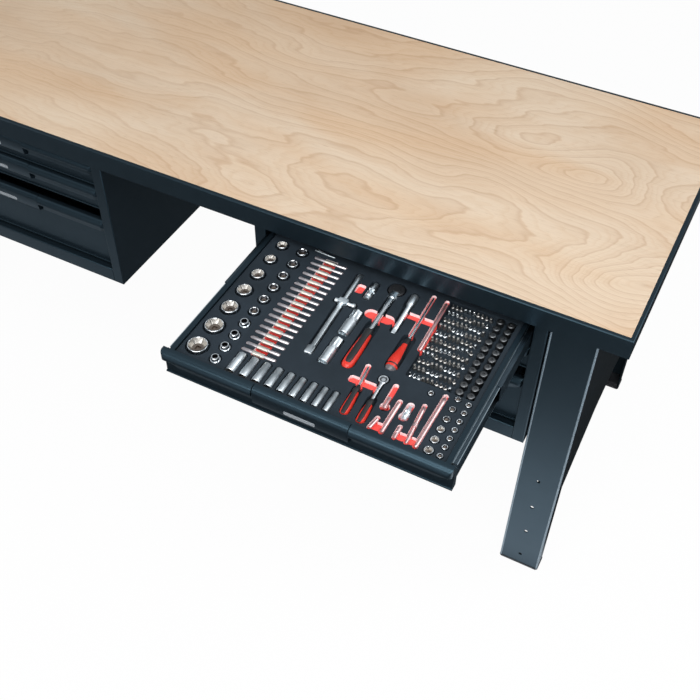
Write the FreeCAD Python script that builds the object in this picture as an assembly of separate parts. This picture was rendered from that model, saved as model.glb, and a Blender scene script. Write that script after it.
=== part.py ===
"""Workbench with a wooden top and two hanging steel cabinets of three drawers, the right top drawer pulled out.

Sizes are in millimetres. X runs along the bench from its middle, Y from the front edge to the back, Z up from the floor.
Every node is moved back by one amount at the end, so that the origin is under the middle of the whole model's box.
"""
import FreeCAD
import Part
import math
import os

V = FreeCAD.Vector

# Bench as a whole
bench_length = 2000.0
bench_depth = 750.0
bench_height = 870.0

# Steel edge round the wooden board
edge_height = 46.0
edge_sheet = 3.0
edge_lip = 8.5
edge_flange = 50.0
edge_fold = 2.5

# Legs, folded channels open to the inside
leg_width = 95.0
leg_depth = 42.0
leg_sheet = 3.0
leg_fold = 4.0
leg_end_gap = 60.0
leg_front_gap = 25.0
leg_hole_radius = 4.5
leg_hole_first = 40.0
leg_hole_pitch = 100.0
leg_hole_count = 4

# Plastic foot caps
foot_height = 5.0
foot_margin = 1.5
foot_chamfer = 4.0
foot_plug_height = 15.0
foot_plug_gap = 0.5

# Side panels between front and rear leg, with an arched lower edge
panel_sheet = 2.0
panel_lap = 22.0
panel_gap = 0.4
arch_foot_height = 250.0
arch_top_height = 325.0
arch_shoulder = 235.0
arch_corner = 60.0
arch_flange = 55.0
panel_top_flange = 30.0

# Rear rail between the rear legs
rail_height = 100.0
rail_depth = 30.0
rail_sheet = 2.0

# Flat bars under the board
bar_width = 60.0
bar_spread = 230.0

# Bolt heads under the bars and leg plates
bolt_head_width = 13.0
bolt_head_height = 5.3
leg_bolt_spread = 25.0
leg_bolt_back = 10.0
case_bolt_rows = (120.0, 430.0)

# Cabinet cases
case_width = 645.0
case_height = 362.0
case_depth = 500.0
case_sheet = 1.5
case_fold = 2.0
case_front_gap = 15.0
case_leg_gap = 3.0
post_width = 27.0
post_depth = 60.0
rear_post_depth = 70.0
base_rail_height = 38.5
base_rail_depth = 20.0
top_rail_height = 12.0

# Drawer fronts
front_side_gap = 1.75
front_gap = 3.0
front_sheet = 1.5
front_return = 14.0
front_bead_out = 3.0
front_bead_height = 4.5
front_bead_chamfer = 1.0
shallow_front_height = 67.0
bottom_band_gap = 27.0
front_set_back = 1.0

# Grip strip along the top of each front, in three lengths
grip_out = 16.5
grip_height = 46.0
grip_nose = 6.0
grip_joint_gap = 1.5
grip_middle_width = 194.0
grip_end_round = 32.0
grip_end_corner = 5.0
middle_nose_out = 14.0
middle_nose = 4.5
grip_clearance = 0.3

# Drawer boxes
box_length = 440.0
box_sheet = 1.2
box_wall = 9.0
box_wall_lip = 14.0
box_under_gap = 3.0
box_top_gap = 4.0

# Telescopic slides, one pair for each drawer
slide_space = 12.7
slide_length = 420.0
slide_height = 45.0
slide_sheet = 1.2
slide_run_gap = 0.35
slide_below_top = 30.0
slide_start_gap = 2.0
middle_web_place = 9.9
flange_edge_gap = 0.8
drawer_travel = 400.0
open_distance = 390.0

# Foam inlay of the open drawer
foam_gap = 1.0
foam_back_room = 40.0
foam_below_rim = 5.0
foam_layer = 12.0
foam_floor = 4.0

# Worked out from the sizes above
foam_length = box_length - foam_back_room
top_z = bench_height - edge_height
board_z = top_z + edge_sheet
leg_x = bench_length / 2 - leg_end_gap - leg_width / 2
case_x = bench_length / 2 - leg_end_gap - leg_width - case_leg_gap - case_width / 2
case_bottom = top_z - case_height
case_back = case_front_gap + case_depth
opening_half = case_width / 2 - post_width
opening_bottom = case_bottom + base_rail_height
opening_top = top_z - top_rail_height
front_half = opening_half - front_side_gap
front_y = case_front_gap + front_set_back + grip_out
box_half = opening_half - slide_space
box_y = front_y + front_sheet
slide_y = front_y + front_return + slide_start_gap
back_shift = -(bench_depth + front_y - grip_out - open_distance) / 2

# Each level: name, top and bottom of the drawer front
top_front = opening_top - front_gap
middle_front = top_front - shallow_front_height - front_gap
bottom_front = middle_front - shallow_front_height - bottom_band_gap
levels = (
    ("top", top_front, top_front - shallow_front_height),
    ("middle", middle_front, middle_front - shallow_front_height),
    ("bottom", bottom_front, opening_bottom + front_gap),
)


def plan(z):
    """Places an outline of X and Y at one height."""
    return lambda a, b: V(a, b, z)


def side_view(x):
    """Places an outline of Y and Z at one X."""
    return lambda a, b: V(x, a, b)


def front_view(y):
    """Places an outline of X and Z at one Y."""
    return lambda a, b: V(a, y, b)


def outline(points, place):
    """Face inside a closed outline. A third number in a point is that corner's radius."""
    corners = []
    for i, point in enumerate(points):
        here = V(point[0], point[1], 0)
        radius = point[2] if len(point) > 2 else 0
        if not radius:
            corners.append((here, None, here))
            continue
        before = V(points[i - 1][0], points[i - 1][1], 0) - here
        after = V(points[(i + 1) % len(points)][0], points[(i + 1) % len(points)][1], 0) - here
        half = before.getAngle(after) / 2
        before.normalize()
        after.normalize()
        inward = before + after
        inward.normalize()
        centre = here + inward * (radius / math.sin(half))
        run = radius / math.tan(half)
        corners.append((here + before * run, centre - inward * radius, here + after * run))
    edges = []
    for i, (start, middle, end) in enumerate(corners):
        if middle:
            arc = Part.Arc(place(start.x, start.y), place(middle.x, middle.y), place(end.x, end.y))
            edges.append(arc.toShape())
        following = corners[(i + 1) % len(corners)][0]
        if end.distanceToPoint(following) > 1e-6:
            edges.append(Part.makeLine(place(end.x, end.y), place(following.x, following.y)))
    return Part.Face(Part.Wire(edges))


def block(x0, x1, y0, y1, z0, z1):
    """Box between two corners."""
    return Part.makeBox(x1 - x0, y1 - y0, z1 - z0, V(x0, y0, z0))


def join(shapes):
    """One solid from shapes that share faces or overlap."""
    first, rest = shapes[0], shapes[1:]
    return first.fuse(rest).removeSplitter() if rest else first


def polygon_prism(x, y, z0, z1, sides, radius, turn=0.0):
    """Upright prism on a regular polygon with this corner radius."""
    points = []
    for i in range(sides):
        angle = turn + 2 * math.pi * i / sides
        points.append((x + radius * math.cos(angle), y + radius * math.sin(angle)))
    return outline(points, plan(z0)).extrude(V(0, 0, z1 - z0))


def lying_prism(x, y0, y1, z, sides, radius):
    """Prism on a regular polygon that lies along Y."""
    points = []
    for i in range(sides):
        angle = math.pi / sides + 2 * math.pi * i / sides
        points.append((x + radius * math.cos(angle), z + radius * math.sin(angle)))
    return outline(points, front_view(y0)).extrude(V(0, y1 - y0, 0))


def lying_cross_prism(x0, x1, y, z, sides, radius):
    """Prism on a regular polygon that lies along X."""
    points = []
    for i in range(sides):
        angle = math.pi / sides + 2 * math.pi * i / sides
        points.append((y + radius * math.cos(angle), z + radius * math.sin(angle)))
    return outline(points, side_view(x0)).extrude(V(x1 - x0, 0, 0))


def lying_grip(x, y0, z, profile):
    """Flat-sided grip that lies along Y, from (distance along, radius) points."""
    rings = []
    for along, radius in profile:
        corners = []
        for i in range(grip_sides + 1):
            angle = math.pi * (2 * i + 1) / grip_sides
            corners.append(V(x + radius * math.cos(angle), y0 + along, z + radius * math.sin(angle)))
        rings.append(corners)
    faces = [Part.Face(Part.makePolygon(rings[0])), Part.Face(Part.makePolygon(rings[-1]))]
    for near, far in zip(rings, rings[1:]):
        for i in range(grip_sides):
            corners = [near[i], near[i + 1], far[i + 1], far[i], near[i]]
            faces.append(Part.Face(Part.makePolygon(corners)))
    return Part.makeSolid(Part.makeShell(faces))


nodes = {}


def keep(name, *solids):
    """Adds solids to a node."""
    nodes.setdefault(name, []).extend(solids)


def worktop_board():
    """Wooden board with a rebate that takes the lip of the steel edge."""
    half = bench_length / 2
    lower = block(edge_sheet - half, half - edge_sheet, edge_sheet, bench_depth - edge_sheet,
                  board_z, bench_height - edge_sheet)
    upper = block(edge_lip - half, half - edge_lip, edge_lip, bench_depth - edge_lip,
                  bench_height - edge_sheet, bench_height)
    return join([lower, upper])


def edge_profile():
    """Section of the steel edge, as distance in from its outer face and height."""
    return [
        (0, top_z), (edge_flange, top_z), (edge_flange, board_z), (edge_sheet, board_z),
        (edge_sheet, bench_height - edge_sheet), (edge_lip, bench_height - edge_sheet),
        (edge_lip, bench_height), (0, bench_height, edge_fold),
    ]


def edges():
    """Four folded steel edges, mitred at the corners."""
    half = bench_length / 2
    reach = bench_depth / 2
    long_bar = outline(edge_profile(), side_view(-half)).extrude(V(bench_length, 0, 0))
    long_mitre = outline([(-half, 0), (half, 0), (half - reach, reach), (reach - half, reach)], plan(top_z))
    front = long_bar.common(long_mitre.extrude(V(0, 0, edge_height)))
    middle = V(0, bench_depth / 2, 0)
    keep("edge_front", front)
    keep("edge_rear", front.mirror(middle, V(0, 1, 0)))
    across = [(u - half, z, *round_) for u, z, *round_ in edge_profile()]
    short_bar = outline(across, front_view(0)).extrude(V(0, bench_depth, 0))
    short_mitre = outline([(-half, 0), (reach - half, reach), (-half, bench_depth)], plan(top_z))
    left = short_bar.common(short_mitre.extrude(V(0, 0, edge_height)))
    keep("edge_left", left)
    keep("edge_right", left.mirror(V(0, 0, 0), V(1, 0, 0)))


def leg_channel(x):
    """Folded channel leg with a welded top plate, in the place of a front leg."""
    a, b = x - leg_width / 2, x + leg_width / 2
    y0, y1 = leg_front_gap, leg_front_gap + leg_depth
    s = leg_sheet
    section = [
        (a, y0, leg_fold), (b, y0, leg_fold), (b, y1), (b - s, y1), (b - s, y0 + s),
        (a + s, y0 + s), (a + s, y1), (a, y1),
    ]
    channel = outline(section, plan(foot_height)).extrude(V(0, 0, top_z - foot_height))
    plate = block(a + s, b - s, y0 + s, y1, top_z - s, top_z)
    return join([channel, plate])


def leg_holes(x):
    """Row of drills for the screw holes in the face of a front leg."""
    drills = []
    for i in range(leg_hole_count):
        place = V(x, leg_front_gap - leg_sheet / 2, leg_hole_first + i * leg_hole_pitch)
        drills.append(Part.makeCylinder(leg_hole_radius, 2 * leg_sheet, place, V(0, 1, 0)))
    return drills


def foot_cap(x):
    """Flat plastic cap under a leg, with a plug that stands inside the channel."""
    half, m = leg_width / 2, foot_margin
    y0, y1 = leg_front_gap - m, leg_front_gap + leg_depth + m
    x0, x1, c = x - half - m, x + half + m, foot_chamfer
    plate = [
        (x0 + c, y0), (x1 - c, y0), (x1, y0 + c), (x1, y1 - c),
        (x1 - c, y1), (x0 + c, y1), (x0, y1 - c), (x0, y0 + c),
    ]
    sole = outline(plate, plan(0)).extrude(V(0, 0, foot_height))
    inset = leg_sheet + foot_plug_gap
    plug = block(x - half + inset, x + half - inset, leg_front_gap + inset, y1 - m - foot_plug_gap,
                 foot_height, foot_height + foot_plug_height)
    return join([sole, plug])


def side_panel(x_outer, inward):
    """Sheet between two legs. Its arched lower edge and its top are folded inwards."""
    y0 = leg_front_gap + leg_depth
    y1 = bench_depth - y0
    top = top_z - leg_sheet - panel_gap

    def arch(lift):
        return [
            (y0, arch_foot_height + lift), (y0 + arch_shoulder, arch_top_height + lift, arch_corner),
            (y1 - arch_shoulder, arch_top_height + lift, arch_corner), (y1, arch_foot_height + lift),
        ]

    low = arch_foot_height
    sheet = [(y0 - panel_lap, low)] + arch(0) + [(y1 + panel_lap, low), (y1 + panel_lap, top), (y0 - panel_lap, top)]
    wall = outline(sheet, side_view(x_outer)).extrude(V(inward * panel_sheet, 0, 0))
    fold = outline(arch(0) + arch(panel_sheet)[::-1], side_view(x_outer)).extrude(V(inward * arch_flange, 0, 0))
    ends = sorted((x_outer, x_outer + inward * panel_top_flange))
    cap = block(ends[0], ends[1], y0 + panel_gap, y1 - panel_gap, top - panel_sheet, top)
    return join([wall, fold, cap])


def frame():
    """Legs, feet, side panels, rear rail, flat bars and bolt heads."""
    middle = V(0, bench_depth / 2, 0)
    for side, sign in (("right", 1), ("left", -1)):
        leg = leg_channel(sign * leg_x)
        cap = foot_cap(sign * leg_x)
        keep(f"{side}_front_leg", leg.cut(leg_holes(sign * leg_x)))
        keep(f"{side}_rear_leg", leg.mirror(middle, V(0, 1, 0)))
        keep("foot_caps", cap, cap.mirror(middle, V(0, 1, 0)))
        outer = sign * (leg_x + leg_width / 2 - leg_sheet - panel_gap)
        keep(f"{side}_side_panel", side_panel(outer, -sign))
    rail_half = leg_x - leg_width / 2
    rail_back = bench_depth - leg_front_gap - leg_sheet
    y0 = rail_back - rail_depth
    s = rail_sheet
    section = [
        (y0, top_z - rail_height), (rail_back, top_z - rail_height), (rail_back, top_z), (y0, top_z),
        (y0, top_z - s), (rail_back - s, top_z - s), (rail_back - s, top_z - rail_height + s),
        (y0, top_z - rail_height + s),
    ]
    keep("rear_rail", outline(section, side_view(-rail_half)).extrude(V(2 * rail_half, 0, 0)))
    bar_places = [leg_x, case_x + bar_spread, case_x - bar_spread]
    for x in bar_places + [-x for x in bar_places]:
        keep("cross_bars", block(x - bar_width / 2, x + bar_width / 2, edge_flange, bench_depth - edge_flange,
                                 top_z, board_z))
    corner = bolt_head_width / math.sqrt(3)
    for sign in (1, -1):
        for spread in (-leg_bolt_spread, leg_bolt_spread):
            x = sign * leg_x + spread
            y = leg_front_gap + leg_sheet + leg_bolt_back
            under = top_z - leg_sheet
            for place in (y, bench_depth - y):
                keep("frame_bolts", polygon_prism(x, place, under - bolt_head_height, under, 6, corner))
        for spread in (-bar_spread, bar_spread):
            under = top_z - case_sheet
            for y in case_bolt_rows:
                x = sign * case_x + spread
                keep("frame_bolts", polygon_prism(x, y, under - bolt_head_height, under, 6, corner))


def case_side(x_outer, inward):
    """Side of a cabinet, folded round to a boxed post at the front and the back."""
    s, w = case_sheet, post_width
    y0, y1 = case_front_gap, case_back
    section = [
        (0, y0, case_fold), (w, y0, case_fold), (w, y0 + post_depth), (w - s, y0 + post_depth),
        (w - s, y0 + s), (s, y0 + s), (s, y1 - s), (w - s, y1 - s), (w - s, y1 - rear_post_depth),
        (w, y1 - rear_post_depth), (w, y1), (0, y1),
    ]
    placed = [(x_outer + inward * u, y, *round_) for u, y, *round_ in section]
    bottom = case_bottom + s
    return outline(placed, plan(bottom)).extrude(V(0, 0, top_z - s - bottom))


def case(side, sign):
    """One hanging cabinet: two sides, base, top and back."""
    x = sign * case_x
    s, half = case_sheet, case_width / 2
    y0, y1 = case_front_gap, case_back
    keep(f"{side}_case_end_side", case_side(x + sign * half, -sign))
    keep(f"{side}_case_knee_side", case_side(x - sign * half, sign))
    rail = [
        (y0, case_bottom + s), (y0, opening_bottom, case_fold), (y0 + base_rail_depth, opening_bottom),
        (y0 + base_rail_depth, opening_bottom - s), (y0 + s, opening_bottom - s), (y0 + s, case_bottom + s),
    ]
    fold = outline(rail, side_view(x - opening_half)).extrude(V(2 * opening_half, 0, 0))
    keep(f"{side}_case_base", join([block(x - half, x + half, y0, y1, case_bottom, case_bottom + s), fold]))
    lid = block(x - half, x + half, y0, y1, top_z - s, top_z)
    flange = block(x - opening_half, x + opening_half, y0, y0 + s, opening_top, top_z - s)
    keep(f"{side}_case_top", join([lid, flange]))
    keep(f"{side}_case_back", block(x - opening_half, x + opening_half, y1 - s, y1, case_bottom + s, top_z - s))


def slide_channel(x_wall, outward, z, web, flange_end, height):
    """One slide member: a web at a distance from the drawer wall, and two flanges that reach to another distance."""
    s, half = slide_sheet, height / 2
    step = s if web < flange_end else -s
    section = [
        (web, z - half), (flange_end, z - half), (flange_end, z - half + s), (web + step, z - half + s),
        (web + step, z + half - s), (flange_end, z + half - s), (flange_end, z + half), (web, z + half),
    ]
    placed = [(x_wall + outward * u, height_) for u, height_ in section]
    return outline(placed, front_view(slide_y)).extrude(V(0, slide_length, 0))


def slides(x, z):
    """Outer, middle and inner members of a drawer's two slides, each as a list of two solids."""
    step = 2 * (slide_sheet + slide_run_gap)
    outer, middle, inner = [], [], []
    for sign in (1, -1):
        wall = x + sign * box_half
        edge = slide_sheet + flange_edge_gap
        outer.append(slide_channel(wall, sign, z, slide_space, edge, slide_height))
        middle_web = middle_web_place + slide_sheet
        middle.append(slide_channel(wall, sign, z, middle_web, edge, slide_height - step))
        inner_end = middle_web_place - flange_edge_gap
        inner.append(slide_channel(wall, sign, z, 0, inner_end, slide_height - 2 * step))
    return outer, middle, inner


def grip_length(x0, x1, z, profile):
    """One length of grip strip, from a section of distance forward and depth below the top."""
    placed = [(front_y - out, z - down, *round_) for out, down, *round_ in profile]
    return outline(placed, side_view(x0)).extrude(V(x1 - x0, 0, 0))


def scooped_profile():
    """Section of an outer grip length: flat top, round nose and a hollow for the fingers."""
    return [
        (0, 0), (grip_out, 0, grip_nose), (grip_out, grip_nose * 1.6),
        (grip_out * 0.35, grip_height * 0.55, grip_height * 0.45), (0.8, grip_height), (0, grip_height),
    ]


def slanted_profile():
    """Section of the middle grip length: smaller nose and a plain slanted face."""
    return [
        (0, 0), (middle_nose_out, 0, middle_nose), (middle_nose_out, 2 * middle_nose, middle_nose),
        (0.8, grip_height), (0, grip_height),
    ]


def drawer_front(x, top, bottom):
    """Folded steel front with a bead along its foot, and the three lengths of grip strip."""
    s, half = front_sheet, front_half
    y0, y1 = front_y, front_y + front_return
    parts = [block(x - half, x + half, y0, y0 + s, bottom, top)]
    for sign in (1, -1):
        edge = sorted((x + sign * half, x + sign * (half - s)))
        parts.append(block(edge[0], edge[1], y0 + s, y1, bottom, top))
    parts.append(block(x - half + s, x + half - s, y0 + s, y1, bottom, bottom + s))
    nose, high, c = y0 - front_bead_out, bottom + front_bead_height, front_bead_chamfer
    bead = [(y0, bottom), (y0, high), (nose + c, high), (nose, high - c), (nose, bottom + c), (nose + c, bottom)]
    parts.append(outline(bead, side_view(x - half)).extrude(V(2 * half, 0, 0)))
    inner = grip_middle_width / 2
    parts.append(grip_length(x - inner, x + inner, top, slanted_profile()))
    for sign in (1, -1):
        ends = sorted((x + sign * (inner + grip_joint_gap), x + sign * half))
        strip = grip_length(ends[0], ends[1], top, scooped_profile())
        a, b = x + sign * (inner + grip_joint_gap), x + sign * half
        face = [(a, top), (b, top), (b, top - grip_height, grip_end_round), (a, top - grip_height)]
        strip = strip.common(outline(face, front_view(y0 - grip_out)).extrude(V(0, grip_out, 0)))
        above = [(a, y0 - grip_out), (b, y0 - grip_out, grip_end_corner), (b, y0), (a, y0)]
        strip = strip.common(outline(above, plan(top - grip_height)).extrude(V(0, 0, grip_height)))
        parts.append(strip)
    return join(parts)


def drawer_box(x, top, bottom):
    """Open box of folded sheet, with doubled upper walls."""
    s, half = box_sheet, box_half
    z0, z1 = bottom + box_under_gap, top - box_top_gap
    section = [
        (-half, z0), (half, z0), (half, z1), (half - box_wall, z1), (half - box_wall, z1 - box_wall_lip),
        (half - box_wall + s, z1 - box_wall_lip), (half - box_wall + s, z1 - s), (half - s, z1 - s),
        (half - s, z0 + s), (s - half, z0 + s), (s - half, z1 - s), (box_wall - s - half, z1 - s),
        (box_wall - s - half, z1 - box_wall_lip), (box_wall - half, z1 - box_wall_lip), (box_wall - half, z1),
        (-half, z1),
    ]
    placed = [(x + u, z) for u, z in section]
    trough = outline(placed, front_view(box_y)).extrude(V(0, box_length, 0))
    inside = half - s
    back = block(x - inside, x + inside, box_y + box_length - s, box_y + box_length, z0 + s, z1 - s)
    front = block(x - inside, x + inside, box_y, box_y + s, z0 + s, z1 - s)
    return join([trough, back, front])


def drawer(side, sign, level, top, bottom):
    """One drawer with its slides, closed or, for the right top one, pulled out."""
    x = sign * case_x
    pulled = open_distance if (side, level) == ("right", "top") else 0.0
    slide_z = top - box_top_gap - slide_below_top
    outer, middle, inner = slides(x, slide_z)
    keep(f"{side}_outer_slides", *outer)
    name = f"{side}_{level}"
    forward = V(0, -pulled, 0)
    keep(f"{name}_middle_slides", *[part.translated(forward / 2) for part in middle])
    keep(f"{name}_inner_slides", *[part.translated(forward) for part in inner])
    keep(f"{name}_drawer_front", drawer_front(x, top, bottom).translated(forward))
    keep(f"{name}_drawer_box", drawer_box(x, top, bottom).translated(forward))


# Tools in the open drawer, placed by distance right of its middle and back from its front face
socket_height = 38.0
socket_stand = 4.0
wide_socket_column = -244.0
wide_socket_radii = (20.0, 18.8, 17.0, 15.3, 13.3, 11.7, 11.0)
wide_socket_first = 38.0
wide_socket_pitch = 57.5
wide_pitch_loss = 2.0
narrow_socket_column = -197.0
narrow_socket_radii = (8.5, 8.7, 8.9, 9.1, 9.3, 9.5, 9.7, 9.9, 10.1, 10.3)
narrow_socket_first = 25.0
narrow_socket_pitch = 33.5
narrow_pitch_gain = 0.75
deep_socket_row = (12.0, 60.0)
deep_socket_radii = (9.5, 9.15, 8.8, 8.45, 8.1, 7.75, 7.4, 7.05, 6.7)
deep_socket_first = -158.6
deep_socket_pitch = 27.2
deep_pitch_loss = 0.75
deep_socket_bore_depth = 12.0
tool_sides = 10
small_tool_sides = 6
grip_sides = 8
pocket_gap = 1.0
seat_gap = 0.3
bit_row_first = 73.0
bit_row_pitch = 16.6
bit_row_count = 18
bit_row_ends = (-168.0, -96.0)
bit_rod_radius = 2.6
bit_body_radius = 6.0
bit_body_length = 18.0
bit_columns = 10
bit_rows = 11
bit_pitch = 8.8
bit_row_step = 19.8
bit_first = (134.0, 163.0)
bit_half = 3.2
bit_stand = 19.0
end_column = 243.0
end_socket_radius = 8.0
right_column = 237.0
right_column_radii = (8.6, 8.0, 7.4, 6.8, 6.2, 5.6)
right_column_first = 19.4
right_column_pitch = 25.4
last_column = 259.0
last_column_radii = (5.6, 5.6, 5.6, 5.6, 5.6, 5.6, 5.6)
last_column_first = 17.2
last_column_pitch = 20.9
single_socket = (188.4, 137.0, 7.0)
bit_field_side = 5.0
bit_field_front = 8.0
bit_field_end = 15.0
cross_handle = (-76.0, -31.0, 267.0)
cross_handle_radius = 4.5
cross_handle_lift = 4.2


def drawer_frame():
    """Middle, front face, rim height, foam top and red layer top of the open drawer."""
    rim = top_front - box_top_gap
    foam_top = rim - foam_below_rim
    return case_x, front_y - open_distance, foam_top, foam_top - foam_layer


def standing_socket(u, v, radius, height, bore, stand=socket_stand):
    """Socket that stands in the foam, with a six-sided opening in its upper end."""
    x, y, foam_top, _ = drawer_frame()
    top = foam_top + stand
    body = polygon_prism(x + u, y + v, top - height, top, tool_sides, radius)
    return body.cut(polygon_prism(x + u, y + v, top - height * 0.4, top, 6, bore))


def socket_places():
    """Place and radius of every socket that stands alone in its own pocket."""
    places = []
    v, pitch = wide_socket_first, wide_socket_pitch
    for radius in wide_socket_radii:
        places.append((wide_socket_column, v, radius))
        v += pitch
        pitch -= wide_pitch_loss
    v, pitch = narrow_socket_first, narrow_socket_pitch
    for radius in narrow_socket_radii:
        places.append((narrow_socket_column, v, radius))
        v += pitch
        pitch += narrow_pitch_gain
    return places


def small_socket_places():
    """Place and radius of the small sockets along the right side."""
    places = [single_socket]
    for i, radius in enumerate(right_column_radii):
        places.append((right_column, right_column_first + i * right_column_pitch, radius))
    for i, radius in enumerate(last_column_radii):
        places.append((last_column, last_column_first + i * last_column_pitch, radius))
    return places


def deep_socket_places():
    """Place and radius of the deep sockets that lie along the front."""
    places = []
    u, pitch = deep_socket_first, deep_socket_pitch
    for radius in deep_socket_radii:
        places.append((u, radius))
        u += pitch
        pitch -= deep_pitch_loss
    return places


# Straight steel pieces that lie along the drawer: place across, front end, back end, radius
lying_bars = (
    (-60.0, 275.0, 355.0, 5.5), (-57.0, 116.0, 256.0, 7.5), (58.0, 238.0, 352.0, 5.5),
    (94.0, 276.0, 362.0, 5.0), (122.0, 223.0, 361.0, 5.0), (127.0, 64.0, 122.0, 5.0),
    (147.6, 13.0, 92.0, 4.5), (126.5, 13.0, 41.0, 4.5), (192.0, 12.0, 104.0, 4.0),
    (172.5, 12.0, 41.0, 4.5), (214.0, 12.0, 141.0, 4.5), (-24.0, 295.0, 346.0, 8.0),
    (168.5, 59.0, 96.0, 6.5), (-19.3, 190.0, 256.0, 11.0), (-19.3, 110.0, 176.0, 11.0),
)

# Finger hollows that show the red layer: left, right, front and back
finger_hollows = (
    (-54.0, -34.0, 302.0, 330.0), (66.0, 128.0, 284.0, 312.0), (46.0, 120.0, 90.0, 112.0),
    (127.0, 148.0, 13.0, 34.0), (174.0, 214.0, 13.0, 36.0),
)


def ratchet(u, head_v, grip_end, head_radius, grip_half):
    """Ratchet laid along the drawer: round head and shaft, and an oval grip."""
    x, y, foam_top, _ = drawer_frame()
    z = foam_top - tool_line_drop
    reach = head_v - head_radius - grip_end
    grip_length_ = reach * 0.52
    grip_top = grip_end + grip_length_
    head = polygon_prism(x + u, y + head_v, z - head_radius * 0.45, z + head_radius * 0.3, 12, head_radius)
    shaft = lying_prism(x + u, y + grip_top, y + head_v - head_radius * 0.9, z, 8, head_radius * 0.36)
    profile = [
        (0, grip_half * 0.5), (grip_length_ * 0.12, grip_half * 0.9), (grip_length_ * 0.4, grip_half),
        (grip_length_ * 0.8, grip_half * 0.72), (grip_length_, grip_half * 0.5),
    ]
    grip = lying_grip(x + u, y + grip_end, z, profile)
    return join([head, shaft]), grip


# Ratchets and driver: place across, head, end of the grip, head radius, grip radius
tool_line_drop = 3.0
ratchets = ((20.0, 348.5, 118.0, 17.0, 12.5), (100.0, 127.0, 15.0, 11.0, 9.0), (67.0, 132.0, 18.0, 9.0, 9.0))
driver_place = 97.0
driver_profile = (
    (0, 5.0), (4, 9.0), (14, 11.5), (30, 12.5), (48, 10.0), (66, 7.0), (84, 6.0), (88, 3.4), (108, 3.0),
)
driver_front = 150.0


def inlay():
    """Two-layer foam: a black top with pockets over a thick red layer."""
    x, y, foam_top, red_top = drawer_frame()
    half = box_half - box_wall - foam_gap
    y0 = y + front_sheet + box_sheet + foam_gap
    floor = top_front - shallow_front_height + box_under_gap + box_sheet
    black = block(x - half, x + half, y0, y0 + foam_length, red_top, foam_top)
    red = block(x - half, x + half, y0, y0 + foam_length, floor, red_top)

    def cut_both(tool):
        nonlocal black, red
        black = black.cut(tool)
        red = red.cut(tool)

    pockets, deep_pockets = [], []
    for u, v, radius in socket_places():
        bottom = foam_top + socket_stand - socket_height
        deep_pockets.append(polygon_prism(x + u, y + v, bottom, foam_top, tool_sides, radius + pocket_gap))
    for u, v, radius in small_socket_places():
        pockets.append(polygon_prism(x + u, y + v, red_top, foam_top, small_tool_sides, radius + pocket_gap))
    for u, radius in deep_socket_places():
        side = radius + pocket_gap
        pockets.append(block(x + u - side, x + u + side, y + deep_socket_row[0] - pocket_gap,
                             y + deep_socket_row[1] + pocket_gap, red_top, foam_top))
    for u, v0, v1, radius in lying_bars:
        side = radius + pocket_gap
        pockets.append(block(x + u - side, x + u + side, y + v0 - pocket_gap, y + v1 + pocket_gap,
                             red_top, foam_top))
    for u0, u1, v0, v1 in finger_hollows:
        pockets.append(block(x + u0, x + u1, y + v0, y + v1, red_top, foam_top))
    middle = sum(bit_row_ends) / 2
    reach = bit_body_length + pocket_gap
    margin = bit_body_radius + pocket_gap
    pockets.append(block(x + middle - reach, x + middle + reach, y + bit_row_first - margin,
                         y + bit_row_first + (bit_row_count - 1) * bit_row_pitch + margin, red_top, foam_top))
    for u, head_v, grip_end, head_radius, grip_half in ratchets:
        side = max(grip_half, head_radius) + pocket_gap
        bottom = foam_top - tool_line_drop - grip_half * math.cos(math.pi / grip_sides) - seat_gap
        deep_pockets.append(block(x + u - side, x + u + side, y + grip_end - pocket_gap,
                                  y + head_v + head_radius + pocket_gap, bottom, foam_top))
    thick = max(radius for along, radius in driver_profile)
    side = thick + pocket_gap
    bottom = foam_top - tool_line_drop - thick * math.cos(math.pi / grip_sides) - seat_gap
    deep_pockets.append(block(x + driver_place - side, x + driver_place + side, y + driver_front - pocket_gap,
                              y + driver_front + driver_profile[-1][0] + pocket_gap, bottom, foam_top))
    black = black.cut(pockets + deep_pockets)
    red = red.cut(deep_pockets)
    field = (x + bit_first[0] - bit_field_side, x + end_column + bit_field_end, y + bit_first[1] - bit_field_front,
             y + bit_first[1] + (bit_rows - 1) * bit_row_step + bit_field_front)
    black = black.cut(block(field[0], field[1], field[2], field[3], red_top, foam_top))
    tray = block(field[0], field[1], field[2], field[3], red_top - foam_floor, red_top)
    red = red.cut(tray)
    keep("foam_top_layer", *black.Solids, tray)
    keep("foam_red_layer", *red.Solids)


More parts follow.
